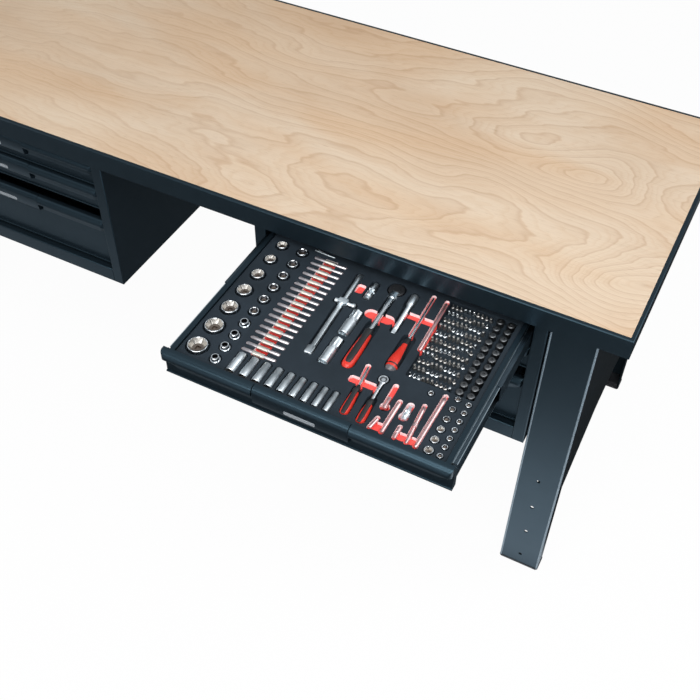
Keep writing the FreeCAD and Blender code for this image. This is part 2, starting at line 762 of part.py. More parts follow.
def tools():
    """Sockets, bits, bars, ratchets and the driver that lie in the foam."""
    x, y, foam_top, red_top = drawer_frame()
    for u, v, radius in socket_places():
        keep("standing_sockets", standing_socket(u, v, radius, socket_height, radius * 0.72))
    for u, v, radius in small_socket_places():
        body = polygon_prism(x + u, y + v, red_top, foam_top + socket_stand, small_tool_sides, radius)
        keep("standing_sockets", body)
    for i in range(bit_rows):
        v = bit_first[1] + i * bit_row_step
        keep("standing_sockets", polygon_prism(x + end_column, y + v, red_top, red_top + bit_stand,
                                               small_tool_sides, end_socket_radius))
    for u, radius in deep_socket_places():
        v0, v1 = deep_socket_row
        z = red_top + radius
        body = lying_prism(x + u, y + v0, y + v1, z, tool_sides, radius)
        bore = lying_prism(x + u, y + v0, y + v0 + deep_socket_bore_depth, z, 6, radius * 0.7)
        keep("deep_sockets", body.cut(bore))
    middle = sum(bit_row_ends) / 2
    for i in range(bit_row_count):
        v = bit_row_first + i * bit_row_pitch
        sign = 1 if i % 2 else -1
        z = foam_top + bit_rod_radius * math.cos(math.pi / 4)
        rod = lying_cross_prism(x + bit_row_ends[0], x + bit_row_ends[1], y + v, z, 4, bit_rod_radius)
        a, b = sorted((middle, middle + sign * bit_body_length))
        body = lying_cross_prism(x + a, x + b, y + v, z, small_tool_sides, bit_body_radius)
        keep("bit_sockets", join([rod, body]))
    for row in range(bit_rows):
        for column in range(bit_columns):
            u = bit_first[0] + column * bit_pitch
            v = bit_first[1] + row * bit_row_step
            keep("screw_bits", block(x + u - bit_half, x + u + bit_half, y + v - bit_half, y + v + bit_half,
                                     red_top, red_top + bit_stand))
    for u, v0, v1, radius in lying_bars:
        keep("extension_bars", lying_prism(x + u, y + v0, y + v1, red_top + radius, 8, radius))
    left, right, across = cross_handle
    keep("extension_bars", lying_cross_prism(x + left, x + right, y + across, foam_top + cross_handle_lift, 8,
                                             cross_handle_radius))
    for place in ratchets:
        steel, grip = ratchet(*place)
        keep("ratchet_heads", steel)
        keep("tool_grips", grip)
    keep("tool_grips", lying_grip(x + driver_place, y + driver_front, foam_top - tool_line_drop, driver_profile))


def main():
    """Builds every node and writes one STEP file for each."""
    keep("worktop_board", worktop_board())
    edges()
    frame()
    for side, sign in (("right", 1), ("left", -1)):
        case(side, sign)
        for level, top, bottom in levels:
            drawer(side, sign, level, top, bottom)
    inlay()
    tools()
    os.makedirs("parts", exist_ok=True)
    for name, solids in nodes.items():
        shape = solids[0] if len(solids) == 1 else Part.makeCompound(solids)
        shape.translated(V(0, back_shift, 0)).exportStep(f"parts/{name}.step")
    print(len(nodes), "nodes")


main()
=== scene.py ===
"""Looks of the workbench: painted steel, birch board, zinc slides, and a foam inlay full of chromed tools."""
import math
import random
import bpy
from mathutils import Matrix, Vector


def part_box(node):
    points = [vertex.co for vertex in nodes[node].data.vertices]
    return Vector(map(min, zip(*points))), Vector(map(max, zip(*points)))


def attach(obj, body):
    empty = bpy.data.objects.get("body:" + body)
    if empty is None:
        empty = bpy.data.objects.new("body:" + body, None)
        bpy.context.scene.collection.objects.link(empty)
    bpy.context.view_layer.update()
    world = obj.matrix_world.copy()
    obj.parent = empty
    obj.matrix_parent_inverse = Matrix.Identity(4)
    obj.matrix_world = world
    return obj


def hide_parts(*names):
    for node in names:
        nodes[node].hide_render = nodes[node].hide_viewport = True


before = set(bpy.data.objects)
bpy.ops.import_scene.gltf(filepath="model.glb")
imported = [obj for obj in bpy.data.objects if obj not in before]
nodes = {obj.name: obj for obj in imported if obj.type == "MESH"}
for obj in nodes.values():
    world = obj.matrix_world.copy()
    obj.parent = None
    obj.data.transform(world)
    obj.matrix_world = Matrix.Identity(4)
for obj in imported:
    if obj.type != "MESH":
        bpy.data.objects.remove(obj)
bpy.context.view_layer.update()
MM = 0.001
DRAWERS = [f"{side}_{level}" for side in ("right", "left") for level in ("top", "middle", "bottom")]

# Camera of the photograph: place in metres, turn in degrees, lens and sensor in millimetres
CAMERA_PLACE = (1.1044, -1.5260, 2.1868)
CAMERA_YAW = -26.666
CAMERA_PITCH = 47.467
CAMERA_ROLL = -0.974
CAMERA_LENS = 52.19
CAMERA_SENSOR = 36
CAMERA_SHIFT_UP = 2 / 700

# The open drawer: middle and front face of the drawer, top of the foam and top of the red layer
drawer_low, drawer_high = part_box("right_top_drawer_front")
GRIP_REACH = 16.5
MIDDLE = (drawer_low.x + drawer_high.x) / 2
FRONT = drawer_low.y + GRIP_REACH * MM
foam_low, foam_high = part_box("foam_top_layer")
FOAM_TOP = foam_high.z
RED_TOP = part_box("foam_red_layer")[1].z
TOOL_BODY = "right_top_drawer"


# Materials

BLACK = (0, 0, 0)
WHITE = (1, 1, 1)


def grey(value):
    """Colour with three equal parts."""
    return (value, value, value)


def new_material(name, colour, roughness, metallic=0):
    """Material with a Principled shader, its node tree and the shader."""
    made = bpy.data.materials.new(name)
    made.use_nodes = True
    tree = made.node_tree
    shader = tree.nodes["Principled BSDF"]
    shader.inputs["Base Color"].default_value = (*colour, 1)
    shader.inputs["Roughness"].default_value = roughness
    shader.inputs["Metallic"].default_value = metallic
    return made, tree, shader


def add(tree, kind, **values):
    """Shader node with some properties and inputs set."""
    node = tree.nodes.new(kind)
    for key, value in values.items():
        if hasattr(node, key):
            setattr(node, key, value)
        else:
            node.inputs[key.replace("_", " ")].default_value = value
    return node


def place_of(tree, stretch=(1, 1, 1)):
    """Object coordinates, stretched along the three axes."""
    coordinates = add(tree, "ShaderNodeTexCoord")
    mapping = add(tree, "ShaderNodeMapping")
    mapping.inputs["Scale"].default_value = stretch
    tree.links.new(coordinates.outputs["Object"], mapping.inputs["Vector"])
    return mapping.outputs["Vector"]


def split_up(tree, place):
    """The X, Y and Z parts of a vector."""
    node = add(tree, "ShaderNodeSeparateXYZ")
    tree.links.new(place, node.inputs["Vector"])
    return node.outputs


def noise(tree, place, scale, detail, roughness=0.5, distortion=0):
    """Noise texture's factor over a place."""
    node = add(tree, "ShaderNodeTexNoise", Scale=scale, Detail=detail, Roughness=roughness,
               Distortion=distortion)
    tree.links.new(place, node.inputs["Vector"])
    return node.outputs["Fac"]


def ramp(tree, factor, stops):
    """Colour ramp over a factor, from (position, colour) stops."""
    node = add(tree, "ShaderNodeValToRGB")
    elements = node.color_ramp.elements
    while len(elements) < len(stops):
        elements.new(0.5)
    for element, (position, colour) in zip(elements, stops):
        element.position = position
        element.color = (*colour, 1)
    tree.links.new(factor, node.inputs["Fac"])
    return node.outputs["Color"]


def rise(tree, factor, start, end):
    """Ramp that rises from nothing to one between two values."""
    return ramp(tree, factor, [(start, BLACK), (end, WHITE)])


def maths(tree, operation, first, second=None, third=None):
    """Math node on sockets or numbers."""
    node = add(tree, "ShaderNodeMath", operation=operation)
    for place, value in zip(node.inputs, (first, second, third)):
        if value is None:
            continue
        if isinstance(value, (int, float)):
            place.default_value = value
        else:
            tree.links.new(value, place)
    return node.outputs["Value"]


def mixed(tree, factor, first, second, blend="MIX"):
    """Mix of two colours, each a socket or a plain colour."""
    node = add(tree, "ShaderNodeMix", data_type="RGBA", blend_type=blend)
    for place, value in ((node.inputs[0], factor), (node.inputs[6], first), (node.inputs[7], second)):
        if isinstance(value, tuple):
            place.default_value = (*value, 1)
        elif isinstance(value, (int, float)):
            place.default_value = value
        else:
            tree.links.new(value, place)
    return node.outputs[2]


def stained(tree, colour, factor, stops, share=1):
    """Colour multiplied by a ramp over a factor."""
    return mixed(tree, share, colour, ramp(tree, factor, stops), "MULTIPLY")


def mixed_shader(tree, factor, first, second):
    """Mix of two shaders by a factor."""
    node = add(tree, "ShaderNodeMixShader")
    for place, socket in zip(node.inputs, (factor, first, second)):
        tree.links.new(socket, place)
    return node.outputs["Shader"]


def bump(tree, shader, height, strength, distance):
    """Bump on a shader from a height."""
    node = add(tree, "ShaderNodeBump", Strength=strength, Distance=distance)
    tree.links.new(height, node.inputs["Height"])
    tree.links.new(node.outputs["Normal"], shader.inputs["Normal"])


def powder_coat():
    """Blue-grey powder coat: fine orange peel, half gloss, a faint change of tone."""
    made, tree, shader = new_material("powder_coat", (0.007, 0.0115, 0.0155), 0.34)
    shader.inputs["IOR"].default_value = 1.62
    shader.inputs["Specular Tint"].default_value = (0.46, 0.78, 1, 1)
    place = place_of(tree)
    tone = noise(tree, place, 3, 2)
    colour = ramp(tree, tone, [(0.3, (0.0044, 0.0074, 0.0100)), (0.7, (0.0056, 0.0092, 0.0124))])
    tree.links.new(colour, shader.inputs["Base Color"])
    gloss = ramp(tree, noise(tree, place, 40, 3), [(0.3, grey(0.32)), (0.7, grey(0.36))])
    tree.links.new(gloss, shader.inputs["Roughness"])
    bump(tree, shader, noise(tree, place, 900, 2), 0.05, 0.0002)
    return made


def zinc():
    """Bright zinc on rolled steel, with drawn lines along the rail and a hatch across it."""
    made, tree, shader = new_material("zinc", (0.14, 0.18, 0.21), 0.3, 1)
    streaks = noise(tree, place_of(tree, (60, 2, 60)), 14, 4)
    colour = ramp(tree, streaks, [(0.3, (0.09, 0.125, 0.15)), (0.7, (0.18, 0.235, 0.27))])
    hatch = maths(tree, "SINE", maths(tree, "MULTIPLY", split_up(tree, place_of(tree))["Y"], 2000))
    colour = stained(tree, colour, hatch, [(0.35, (0.45, 0.47, 0.5)), (0.65, WHITE)])
    tree.links.new(colour, shader.inputs["Base Color"])
    bump(tree, shader, streaks, 0.12, 0.0002)
    return made


def chrome(name, colour, roughness):
    """Chromed tool steel with light handling marks."""
    made, tree, shader = new_material(name, colour, roughness, 1)
    marks = noise(tree, place_of(tree), 90, 2)
    gloss = ramp(tree, marks, [(0.35, grey(roughness * 0.9)), (0.7, grey(roughness * 1.15))])
    tree.links.new(gloss, shader.inputs["Roughness"])
    bump(tree, shader, marks, 0.015, 0.0002)
    return made


def foam(name, dark, light, roughness):
    """Closed-cell foam: fine cells and a cloudy tone."""
    made, tree, shader = new_material(name, dark, roughness)
    shader.inputs["Specular IOR Level"].default_value = 0.25
    place = place_of(tree)
    cells = add(tree, "ShaderNodeTexVoronoi", Scale=900)
    tree.links.new(place, cells.inputs["Vector"])
    colour = ramp(tree, noise(tree, place, 14, 4), [(0.3, dark), (0.75, light)])
    tree.links.new(colour, shader.inputs["Base Color"])
    bump(tree, shader, cells.outputs["Distance"], 0.35, 0.0003)
    return made


def plastic(name, colour, roughness):
    """Moulded plastic with a fine grain."""
    made, tree, shader = new_material(name, colour, roughness)
    grain = noise(tree, place_of(tree), 1400, 2)
    tone = ramp(tree, grain, [(0.3, tuple(part * 0.85 for part in colour)), (0.7, colour)])
    tree.links.new(tone, shader.inputs["Base Color"])
    bump(tree, shader, grain, 0.1, 0.0001)
    return made


def growth_relief(tree):
    """Slow relief whose contours are the growth lines, and the place along the board."""
    flat = split_up(tree, place_of(tree, (1, 1, 0)))
    lengthwise = flat["X"]
    crosswise = flat["Y"]
    relief = noise(tree, place_of(tree, (1, 2.2, 0)), 1.5, 1.2, 0.4, 0.5)
    ripple = noise(tree, place_of(tree, (1, 3, 0)), 7, 2, 0.5)
    swirl = maths(tree, "MAXIMUM", maths(tree, "MULTIPLY_ADD", lengthwise, 1.35, 0.85), 0.12)
    swirl = maths(tree, "SMOOTH_MIN", swirl, 1.9, 0.4)
    slant = maths(tree, "MULTIPLY_ADD", lengthwise, -7, maths(tree, "MULTIPLY", crosswise, 20))
    height = maths(tree, "MULTIPLY_ADD", relief, maths(tree, "MULTIPLY", swirl, 13), slant)
    return maths(tree, "MULTIPLY_ADD", ripple, 1.3, height), lengthwise


def birch():
    """Rotary-cut birch veneer: growth lines in two widths, warm patches, fibres and pores."""
    made, tree, shader = new_material("birch", (0.72, 0.52, 0.37), 0.42)
    height, lengthwise = growth_relief(tree)
    pale = (0.735, 0.575, 0.425)
    warm = (0.70, 0.53, 0.38)
    dark = (0.635, 0.46, 0.32)
    even = (0.725, 0.562, 0.41)
    ring = maths(tree, "FRACT", height)
    broad = ramp(tree, ring, [(0, pale), (0.35, pale), (0.80, warm), (0.92, dark), (1, pale)])
    figure = maths(tree, "MULTIPLY_ADD", lengthwise, 0.5, 0.5)
    figure = ramp(tree, figure, [(0.15, grey(0.35)), (0.6, grey(0.9))])
    colour = mixed(tree, figure, even, broad)
    fine_ring = maths(tree, "FRACT", maths(tree, "MULTIPLY", height, 3))
    fine_lines = [(0, WHITE), (0.5, WHITE), (0.9, (0.965, 0.93, 0.89)), (1, WHITE)]
    colour = stained(tree, colour, fine_ring, fine_lines, 0.9)
    cloud = noise(tree, place_of(tree, (1, 1.5, 1)), 3.2, 3)
    tones = [(0.3, (0.94, 0.915, 0.89)), (0.52, WHITE), (0.8, (1.03, 1.03, 1.02))]
    colour = stained(tree, colour, cloud, tones)
    patches = noise(tree, place_of(tree, (1, 3.5, 1)), 1.7, 2, 0.5, 0.6)
    colour = stained(tree, colour, patches, [(0.38, (1.03, 1.05, 1.07)), (0.64, (0.975, 0.90, 0.82))])
    fibres = noise(tree, place_of(tree, (6, 260, 40)), 1, 5, 0.65)
    colour = stained(tree, colour, fibres, [(0.3, (0.95, 0.94, 0.92)), (0.6, WHITE)])
    pores = noise(tree, place_of(tree, (40, 900, 40)), 1, 2)
    colour = stained(tree, colour, pores, [(0.30, (0.86, 0.81, 0.76)), (0.38, WHITE)])
    tree.links.new(colour, shader.inputs["Base Color"])
    bump(tree, shader, fibres, 0.08, 0.0002)
    return made


PAINT = powder_coat()
# Much paler than the powder coat: a painted highlight along the legs' folded edges
FOLD_HIGHLIGHT_PAINT = plastic("fold_painted_highlight", (0.17, 0.22, 0.26), 0.3)
ZINC = zinc()
# Pale metal for strips on the slide edges: a painted highlight
ZINC_HIGHLIGHT = chrome("zinc_painted_highlight", (0.50, 0.60, 0.66), 0.3)
CHROME = chrome("tool_chrome", (0.80, 0.84, 0.87), 0.22)
SOFT_CHROME = chrome("soft_chrome", (0.84, 0.91, 0.95), 0.38)
ROD_CHROME = chrome("rod_chrome", (0.69, 0.66, 0.68), 0.37)
CREAM_CHROME = chrome("body_chrome", (0.78, 0.75, 0.68), 0.34)
# Pink-tinted chrome for the bars in red slots: a painted reflection of the red lining
CHROME_RED_REFLECTION = chrome("chrome_painted_red_reflection", (0.86, 0.60, 0.60), 0.32)
DARK_STEEL = chrome("dark_steel", (0.13, 0.135, 0.14), 0.38)
BIT_STEEL = chrome("bit_steel", (0.50, 0.485, 0.465), 0.34)
BOLT_STEEL = chrome("bolt_steel", (0.5, 0.51, 0.53), 0.3)
FOAM_DARK = foam("foam_dark", (0.013, 0.020, 0.027), (0.021, 0.031, 0.042), 0.75)
FOAM_RED = foam("foam_red", (0.86, 0.07, 0.06), (0.95, 0.13, 0.11), 0.6)
# Dark red for the floor of the field of bit sockets: painted shade between the sockets
FOAM_RED_SHADE = foam("foam_red_painted_shade", (0.42, 0.02, 0.03), (0.52, 0.035, 0.045), 0.6)
# Pale pink on the walls of the lined pockets: a painted highlight along their cut edges
FOAM_WALL_HIGHLIGHT = foam("foam_wall_painted_highlight", (0.94, 0.78, 0.78), (0.98, 0.90, 0.90), 0.6)
# Half as bright as the chrome: partly a satin finish inside the sockets, partly painted shade in their
# hollows
SATIN_AND_SHADE = chrome("socket_inside_satin_and_shade", (0.40, 0.385, 0.36), 0.33)
# Dark brown at the bottom of each socket and its drive hole: painted shade
SOCKET_FLOOR_SHADE = chrome("socket_floor_painted_shade", (0.22, 0.185, 0.16), 0.42)
# Near black inside the bores of the small sockets: painted shade
BORE_SHADE = chrome("socket_bore_painted_shade", (0.06, 0.06, 0.065), 0.35)
GRIP_RED = plastic("grip_red", (0.72, 0.035, 0.02), 0.32)
GRIP_BLACK = plastic("grip_black", (0.016, 0.017, 0.019), 0.42)
FOOT_BLACK = plastic("foot_black", (0.022, 0.023, 0.026), 0.5)
LABEL_GREY = plastic("label_grey", (0.24, 0.26, 0.28), 0.4)
SMOKE = plastic("grip_smoke", (0.14, 0.13, 0.14), 0.2)
BIRCH = birch()


# Mesh building. Outlines are in drawer millimetres, as in spot().

STAR_DEPTH = 0.09
SQUARE_CORNER = 0.76
SLOT_STEPS = 8
DISC_STEPS = 28
CORNER_STEPS = 5


def put(name, data):
    """New object in the scene."""
    piece = bpy.data.objects.new(name, data)
    bpy.context.scene.collection.objects.link(piece)
    return piece


class Maker:
    """Gathers solids into one mesh, each face with the number of its material."""

    def __init__(self):
        self.points = []
        self.faces = []
        self.slots = []

    def skin(self, rings, slot=0, slots=None):
        """Skin over rings of equally many points, with both ends closed."""
        pick = slots or (lambda i, j: slot)
        base = len(self.points)
        count = len(rings[0])
        for ring in rings:
            self.points += ring
        for i in range(len(rings) - 1):
            low = base + i * count
            high = low + count
            for j in range(count):
                k = (j + 1) % count
                self.faces.append((low + j, low + k, high + k, high + j))
                self.slots.append(pick(i, j))
        last = base + (len(rings) - 1) * count
        self.faces.append(tuple(base + j for j in reversed(range(count))))
        self.faces.append(tuple(last + j for j in range(count)))
        self.slots += [pick(0, 0), pick(len(rings) - 2, 0)]

    def block(self, x0, x1, y0, y1, z0, z1):
        """Box between two places on each axis."""
        corners = ((x0, y0), (x1, y0), (x1, y1), (x0, y1))
        self.skin([[Vector((x, y, z)) for x, y in corners] for z in (z0, z1)])

    def finish(self, name, materials, body, replaces=(), slot=None, sharp=32):
        """Mesh object that rides on a body and stands for some nodes."""
        mesh = bpy.data.meshes.new(name)
        mesh.from_pydata([tuple(p) for p in self.points], [], self.faces)
        for made in materials:
            mesh.materials.append(made)
        mesh.polygons.foreach_set("material_index", self.slots)
        mesh.polygons.foreach_set("use_smooth", [True] * len(self.faces))
        mesh.set_sharp_from_angle(angle=math.radians(sharp))
        piece = put(name, mesh)
        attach(piece, body)
        if replaces:
            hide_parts(*replaces)
        return piece


def section(kind, radius, sides, squash):
    """Points of a closed section: round, a hexagon, a twelve-pointed star or a rounded square."""
    points = []
    for i in range(sides):
        angle = 2 * math.pi * i / sides
        reach = radius
        if kind == "hex":
            reach = radius / math.cos((angle + math.pi / 6) % (math.pi / 3) - math.pi / 6)
        elif kind == "star":
            reach = radius * (1 + STAR_DEPTH * abs(math.cos(6 * angle)))
        elif kind == "square":
            reach = radius / max(abs(math.cos(angle)), abs(math.sin(angle)), SQUARE_CORNER)
        points.append((reach * math.cos(angle), reach * math.sin(angle) * squash))
    return points


def along(maker, start, direction, stations, slot=0, sides=24, up=(0, 0, 1), slots=None):
    """Solid on a line, from stations: distance and radius in millimetres, kind of section, squash."""
    start = Vector(start)
    forward = Vector(direction).normalized()
    side = forward.cross(Vector(up)).normalized()
    lift = side.cross(forward)
    rings = []
    for distance, radius, *rest in stations:
        kind = rest[0] if rest else "round"
        squash = rest[1] if len(rest) > 1 else 1
        centre = start + forward * distance * MM
        outline = section(kind, radius, sides, squash)
        rings.append([centre + side * a * MM + lift * b * MM for a, b in outline])
    maker.skin(rings, slot, slots)


def standing(maker, foot, stations, slot=0, sides=36, slots=None):
    """Upright solid on a point, from the same stations."""
    along(maker, foot, (0, 0, 1), stations, slot, sides, (0, 1, 0), slots)


def spot(u, v, z=FOAM_TOP):
    """Point in the drawer, in millimetres right of its middle and behind its front face."""
    return Vector((MIDDLE + u * MM, FRONT + v * MM, z))


def arc(u, v, radius, start, sweep, steps):
    """Points of an arc, both ends included, with its angles in radians."""
    angles = [start + sweep * i / steps for i in range(steps + 1)]
    return [(u + radius * math.cos(angle), v + radius * math.sin(angle)) for angle in angles]


def stadium(u0, v0, u1, v1, width):
    """Outline round a line, with round ends."""
    line = Vector((u1 - u0, v1 - v0))
    angle = math.atan2(line.y, line.x)
    far_end = arc(u1, v1, width / 2, angle - math.pi / 2, math.pi, SLOT_STEPS)
    return far_end + arc(u0, v0, width / 2, angle + math.pi / 2, math.pi, SLOT_STEPS)


def disc(u, v, radius):
    """Round outline."""
    return arc(u, v, radius, 0, 2 * math.pi, DISC_STEPS)[:-1]


def rounded(u0, u1, v0, v1, radius):
    """Rectangle with round corners."""
    points = []
    for cu, cv, turn in ((u1 - radius, v0 + radius, -90), (u1 - radius, v1 - radius, 0),
                         (u0 + radius, v1 - radius, 90), (u0 + radius, v0 + radius, 180)):
        points += arc(cu, cv, radius, math.radians(turn), math.pi / 2, CORNER_STEPS)
    return points


def upright(maker, outline, low, high, slot=0):
    """Upright prism on an outline, between two heights in metres."""
    maker.skin([[spot(u, v, z) for u, v in outline] for z in (low, high)], slot)


# Steel, wood and plastic of the bench

EDGE_ANGLE = 30
WELD_REACH = 0.00001
# Ending of a node's name, its finish, and the rounding of its edges in millimetres
NODE_FINISHES = (
    ("worktop_board", BIRCH, 0), ("slides", ZINC, 0.3), ("frame_bolts", BOLT_STEEL, 0.4),
    ("foot_caps", FOOT_BLACK, 1), ("foam_red_layer", FOAM_RED, 0), ("_leg", PAINT, 1.2), ("", PAINT, 0.5),
)
FOLD_RADIUS = 2.6
FOLD_INSET = 1.9
FOOT_ZONE = 0.3
EDGE_WIDTH = 1.2
EDGE_GAP = 0.1


def soften(piece, width):
    """Small rounding of sheet edges, which catches light as a fold does."""
    weld = piece.modifiers.new("weld", "WELD")
    weld.merge_threshold = WELD_REACH
    rounding = piece.modifiers.new("rounding", "BEVEL")
    rounding.width = width * MM
    rounding.segments = 2
    rounding.limit_method = "ANGLE"
    rounding.angle_limit = math.radians(EDGE_ANGLE)
    rounding.harden_normals = True


def dress_nodes():
    """Finish of every node, which shows on those that keep their shape."""
    for name, piece in nodes.items():
        finish, width = next(row[1:] for row in NODE_FINISHES if name.endswith(row[0]))
        piece.data.materials.clear()
        piece.data.materials.append(finish)
        if width:
            soften(piece, width)


def make_leg_folds():
    """Round of the folded edge along the front corners of both front legs, in a paler paint that is a painted
    highlight.
    """
    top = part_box("edge_front")[0].z
    for side in ("right", "left"):
        leg = nodes[f"{side}_front_leg"]
        points = [leg.matrix_world @ vertex.co for vertex in leg.data.vertices]
        low_part = [p for p in points if p.z < FOOT_ZONE]
        front = min(p.y for p in low_part)
        foot = min(p.z for p in low_part) + 1 * MM
        maker = Maker()
        for corner, inward in ((max(p.x for p in low_part), -1), (min(p.x for p in low_part), 1)):
            start = (corner + inward * FOLD_INSET * MM, front + FOLD_INSET * MM, foot)
            standing(maker, start, [(0, FOLD_RADIUS), ((top - foot) / MM, FOLD_RADIUS)], sides=20)
        maker.finish(f"{side}_leg_folds", [FOLD_HIGHLIGHT_PAINT], "bench", slot="blue_steel")


def make_slide_edges():
    """Rolled edges of each drawer's slide members, as pale strips that are a painted highlight."""
    for drawer in DRAWERS:
        low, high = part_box(f"{drawer}_inner_slides")
        wall_low, wall_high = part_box(f"{drawer}_drawer_box")
        gap = EDGE_GAP * MM
        width = EDGE_WIDTH * MM
        maker = Maker()
        for x in (wall_high.x + gap, high.x - gap - width, wall_low.x - gap - width, low.x + gap):
            maker.block(x, x + width, low.y, high.y, high.z - 0.3 * MM, high.z + 0.15 * MM)
        maker.finish(f"{drawer}_slide_edges", [ZINC_HIGHLIGHT], f"{drawer}_drawer", slot="zinc_rail")


# Tools in the open drawer. Places are millimetres right of the middle and behind the front face.

def column(place, pitch, growth, radii):
    """Place and radius of each socket in a row whose pitch grows by a fixed step."""
    places = []
    for radius in radii:
        places.append((place, radius))
        place += pitch
        pitch += growth
    return places


WIDE_COLUMN = -244
WIDE_PLACES = column(38, 57.5, -2, (20, 18.8, 17, 15.3, 13.3, 11.7, 11))
NARROW_COLUMN = -197
NARROW_PLACES = column(25, 33.5, 0.75, [8.5 + 0.2 * i for i in range(10)])
NARROW_STEPPED = 4
RIGHT_COLUMN = 237
RIGHT_PLACES = [(17.4 + 25.4 * i, 8.9 - 0.6 * i) for i in range(6)]
LAST_COLUMN = 259
LAST_PLACES = [(15.2 + 20.9 * i, 5.9) for i in range(7)]
SINGLE_PLACE = (188.4, 135)
DEEP_PLACES = column(-158.6, 27.2, -0.75, [9.5 - 0.35 * i for i in range(9)])
# How far a socket stands above the foam, and its height
LARGE_SOCKET = (4, 38)
SMALL_SOCKET = (2, 13.5)
STEPPED_STAND = 7

# Screwdriver sockets in rows
ROW_FIRST = 71.5
ROW_PITCH = 16.6
ROW_COUNT = 18
ROW_LAST = ROW_FIRST + (ROW_COUNT - 1) * ROW_PITCH
ROW_ENDS = (-168, -96)
ROW_BODY = 24

# Screw bits on end
BIT_ROWS = 11
BIT_COLUMNS = 10
BIT_PITCH = 8.8
BIT_ROW_STEP = 19.8
BIT_LEFT = 134
BIT_NEAR = 163
BIT_FAR = BIT_NEAR + (BIT_ROWS - 1) * BIT_ROW_STEP
COLLAR_COLUMNS = (232, 254)

# Bars in slots lined with red: foot, head, radius, slot width
LINED_BARS = (
    ((125.8, 222.8), (121, 361), 3.6, 9.6), ((147.5, 15), (147.7, 91.5), 4.2, 10.4),
    ((124.6, 15), (128.8, 40.5), 3.6, 9.2), ((195.6, 14), (190.8, 103.5), 3.4, 9.2),
    ((172.8, 14), (172, 40.5), 3.6, 9.4), ((213.4, 14), (215, 140.5), 4.4, 10.6),
)
GRIP_LINE = FOAM_TOP - 3 * MM

# Numbers of the materials in a mesh: sockets on end, then tools with handles
WALL, DARK_WALL, BOWL, BORE, DRIVE = range(5)
ON_CHROME, ON_RED, ON_BLACK, ON_DARK, ON_SMOKE = range(5)


def standing_socket(maker, u, v, radius, size, rim, inside):
    """Socket on end, mouth up: thin rim, facets, and a cone down to the drive hole."""
    stand, height = size
    bore = radius * rim
    depth = min(height * 0.6, radius * 0.5)
    stations = [
        (-height, radius), (-1.4, radius), (-0.5, radius - 0.3), (0, radius - 0.9),
        (0, bore + (radius - bore) * 0.35), (-0.7, bore, "hex"), (-depth * 0.5, bore * 0.86, "hex"),
        (-depth, bore * 0.66), (-depth - 0.4, bore * 0.3, "square"),
        (-depth - radius * 0.2, bore * 0.26, "square"),
    ]

    def finish(i, j):
        if i < 5:
            return WALL
        return inside if i < 7 else DRIVE

    standing(maker, spot(u, v, FOAM_TOP + stand * MM), stations, slots=finish)


def stepped_socket(maker, u, v, radius, stand):
    """Small socket with a slim upper end over a wide foot."""
    bore = radius * 0.62
    stations = [
        (-LARGE_SOCKET[1], radius + 1.6), (-stand - 2.4, radius + 1.6), (-stand - 1.2, radius + 1),
        (-stand - 1.2, radius - 0.4), (-1, radius - 0.6), (0, radius - 1.4), (0, bore + 0.4),
        (-0.8, bore, "hex"), (-9, bore, "hex"), (-10, bore * 0.5),
    ]
    standing(maker, spot(u, v, FOAM_TOP + stand * MM), stations, slots=lambda i, j: BORE if i >= 7 else WALL)


def bit_place(row, u):
    """Point on the red layer in a row of bits."""
    return spot(u, BIT_NEAR + row * BIT_ROW_STEP, RED_TOP)


def make_standing_sockets():
    """Columns at the left and the right, the single socket and the collars among the bits."""
    maker = Maker()
    for v, radius in WIDE_PLACES:
        standing_socket(maker, WIDE_COLUMN, v, radius, LARGE_SOCKET, 0.86, BOWL)
    for v, radius in NARROW_PLACES[:NARROW_STEPPED]:
        stepped_socket(maker, NARROW_COLUMN, v, radius, STEPPED_STAND)
    for v, radius in NARROW_PLACES[NARROW_STEPPED:]:
        standing_socket(maker, NARROW_COLUMN, v, radius + 0.4, LARGE_SOCKET, 0.74, BORE)
    for i, (v, radius) in enumerate(RIGHT_PLACES):
        standing_socket(maker, RIGHT_COLUMN, v, radius, SMALL_SOCKET, 0.72, BOWL if i < 3 else BORE)
    for v, radius in LAST_PLACES:
        standing_socket(maker, LAST_COLUMN, v, radius, SMALL_SOCKET, 0.62, BORE)
    standing_socket(maker, *SINGLE_PLACE, 5.6, SMALL_SOCKET, 0.6, BORE)
    collar = [(0, 7.6), (11, 7.6), (12.2, 7.3), (13, 6.4), (13.3, 5), (13.3, 2.6, "hex"), (11, 2.6, "hex")]
    for row in range(BIT_ROWS):
        for u in COLLAR_COLUMNS:
            standing(maker, bit_place(row, u), collar, DARK_WALL, 24)
    finishes = [CHROME, DARK_STEEL, SATIN_AND_SHADE, BORE_SHADE, SOCKET_FLOOR_SHADE]
    maker.finish("sockets_on_end", finishes, TOOL_BODY, ["standing_sockets"], "chromed_tool")


def lying_height(radius):
    """Height of the axis of a piece that lies on the red layer."""
    return RED_TOP + radius * MM


def make_deep_sockets():
    """Deep sockets that lie along the front, mouths towards the hand."""
    maker = Maker()
    for u, radius in DEEP_PLACES:
        stations = [
            (14, radius * 0.55, "star"), (0.8, radius * 0.74, "star"), (0, radius * 0.8), (0, radius - 0.8),
            (0.8, radius), (30, radius), (31.5, radius * 0.9), (46.5, radius * 0.9), (48, radius * 0.82),
        ]
        along(maker, spot(u, 12, lying_height(radius)), (0, 1, 0), stations, sides=36,
              slots=lambda i, j: 1 if i < 2 else 0)
    maker.finish("deep_sockets_lying", [SOFT_CHROME, SATIN_AND_SHADE], TOOL_BODY, ["deep_sockets"], "chromed_tool")


def mirrored(half_stations):
    """Stations of a piece with like ends, from its first half."""
    return half_stations + [(-distance, radius) for distance, radius in reversed(half_stations)]


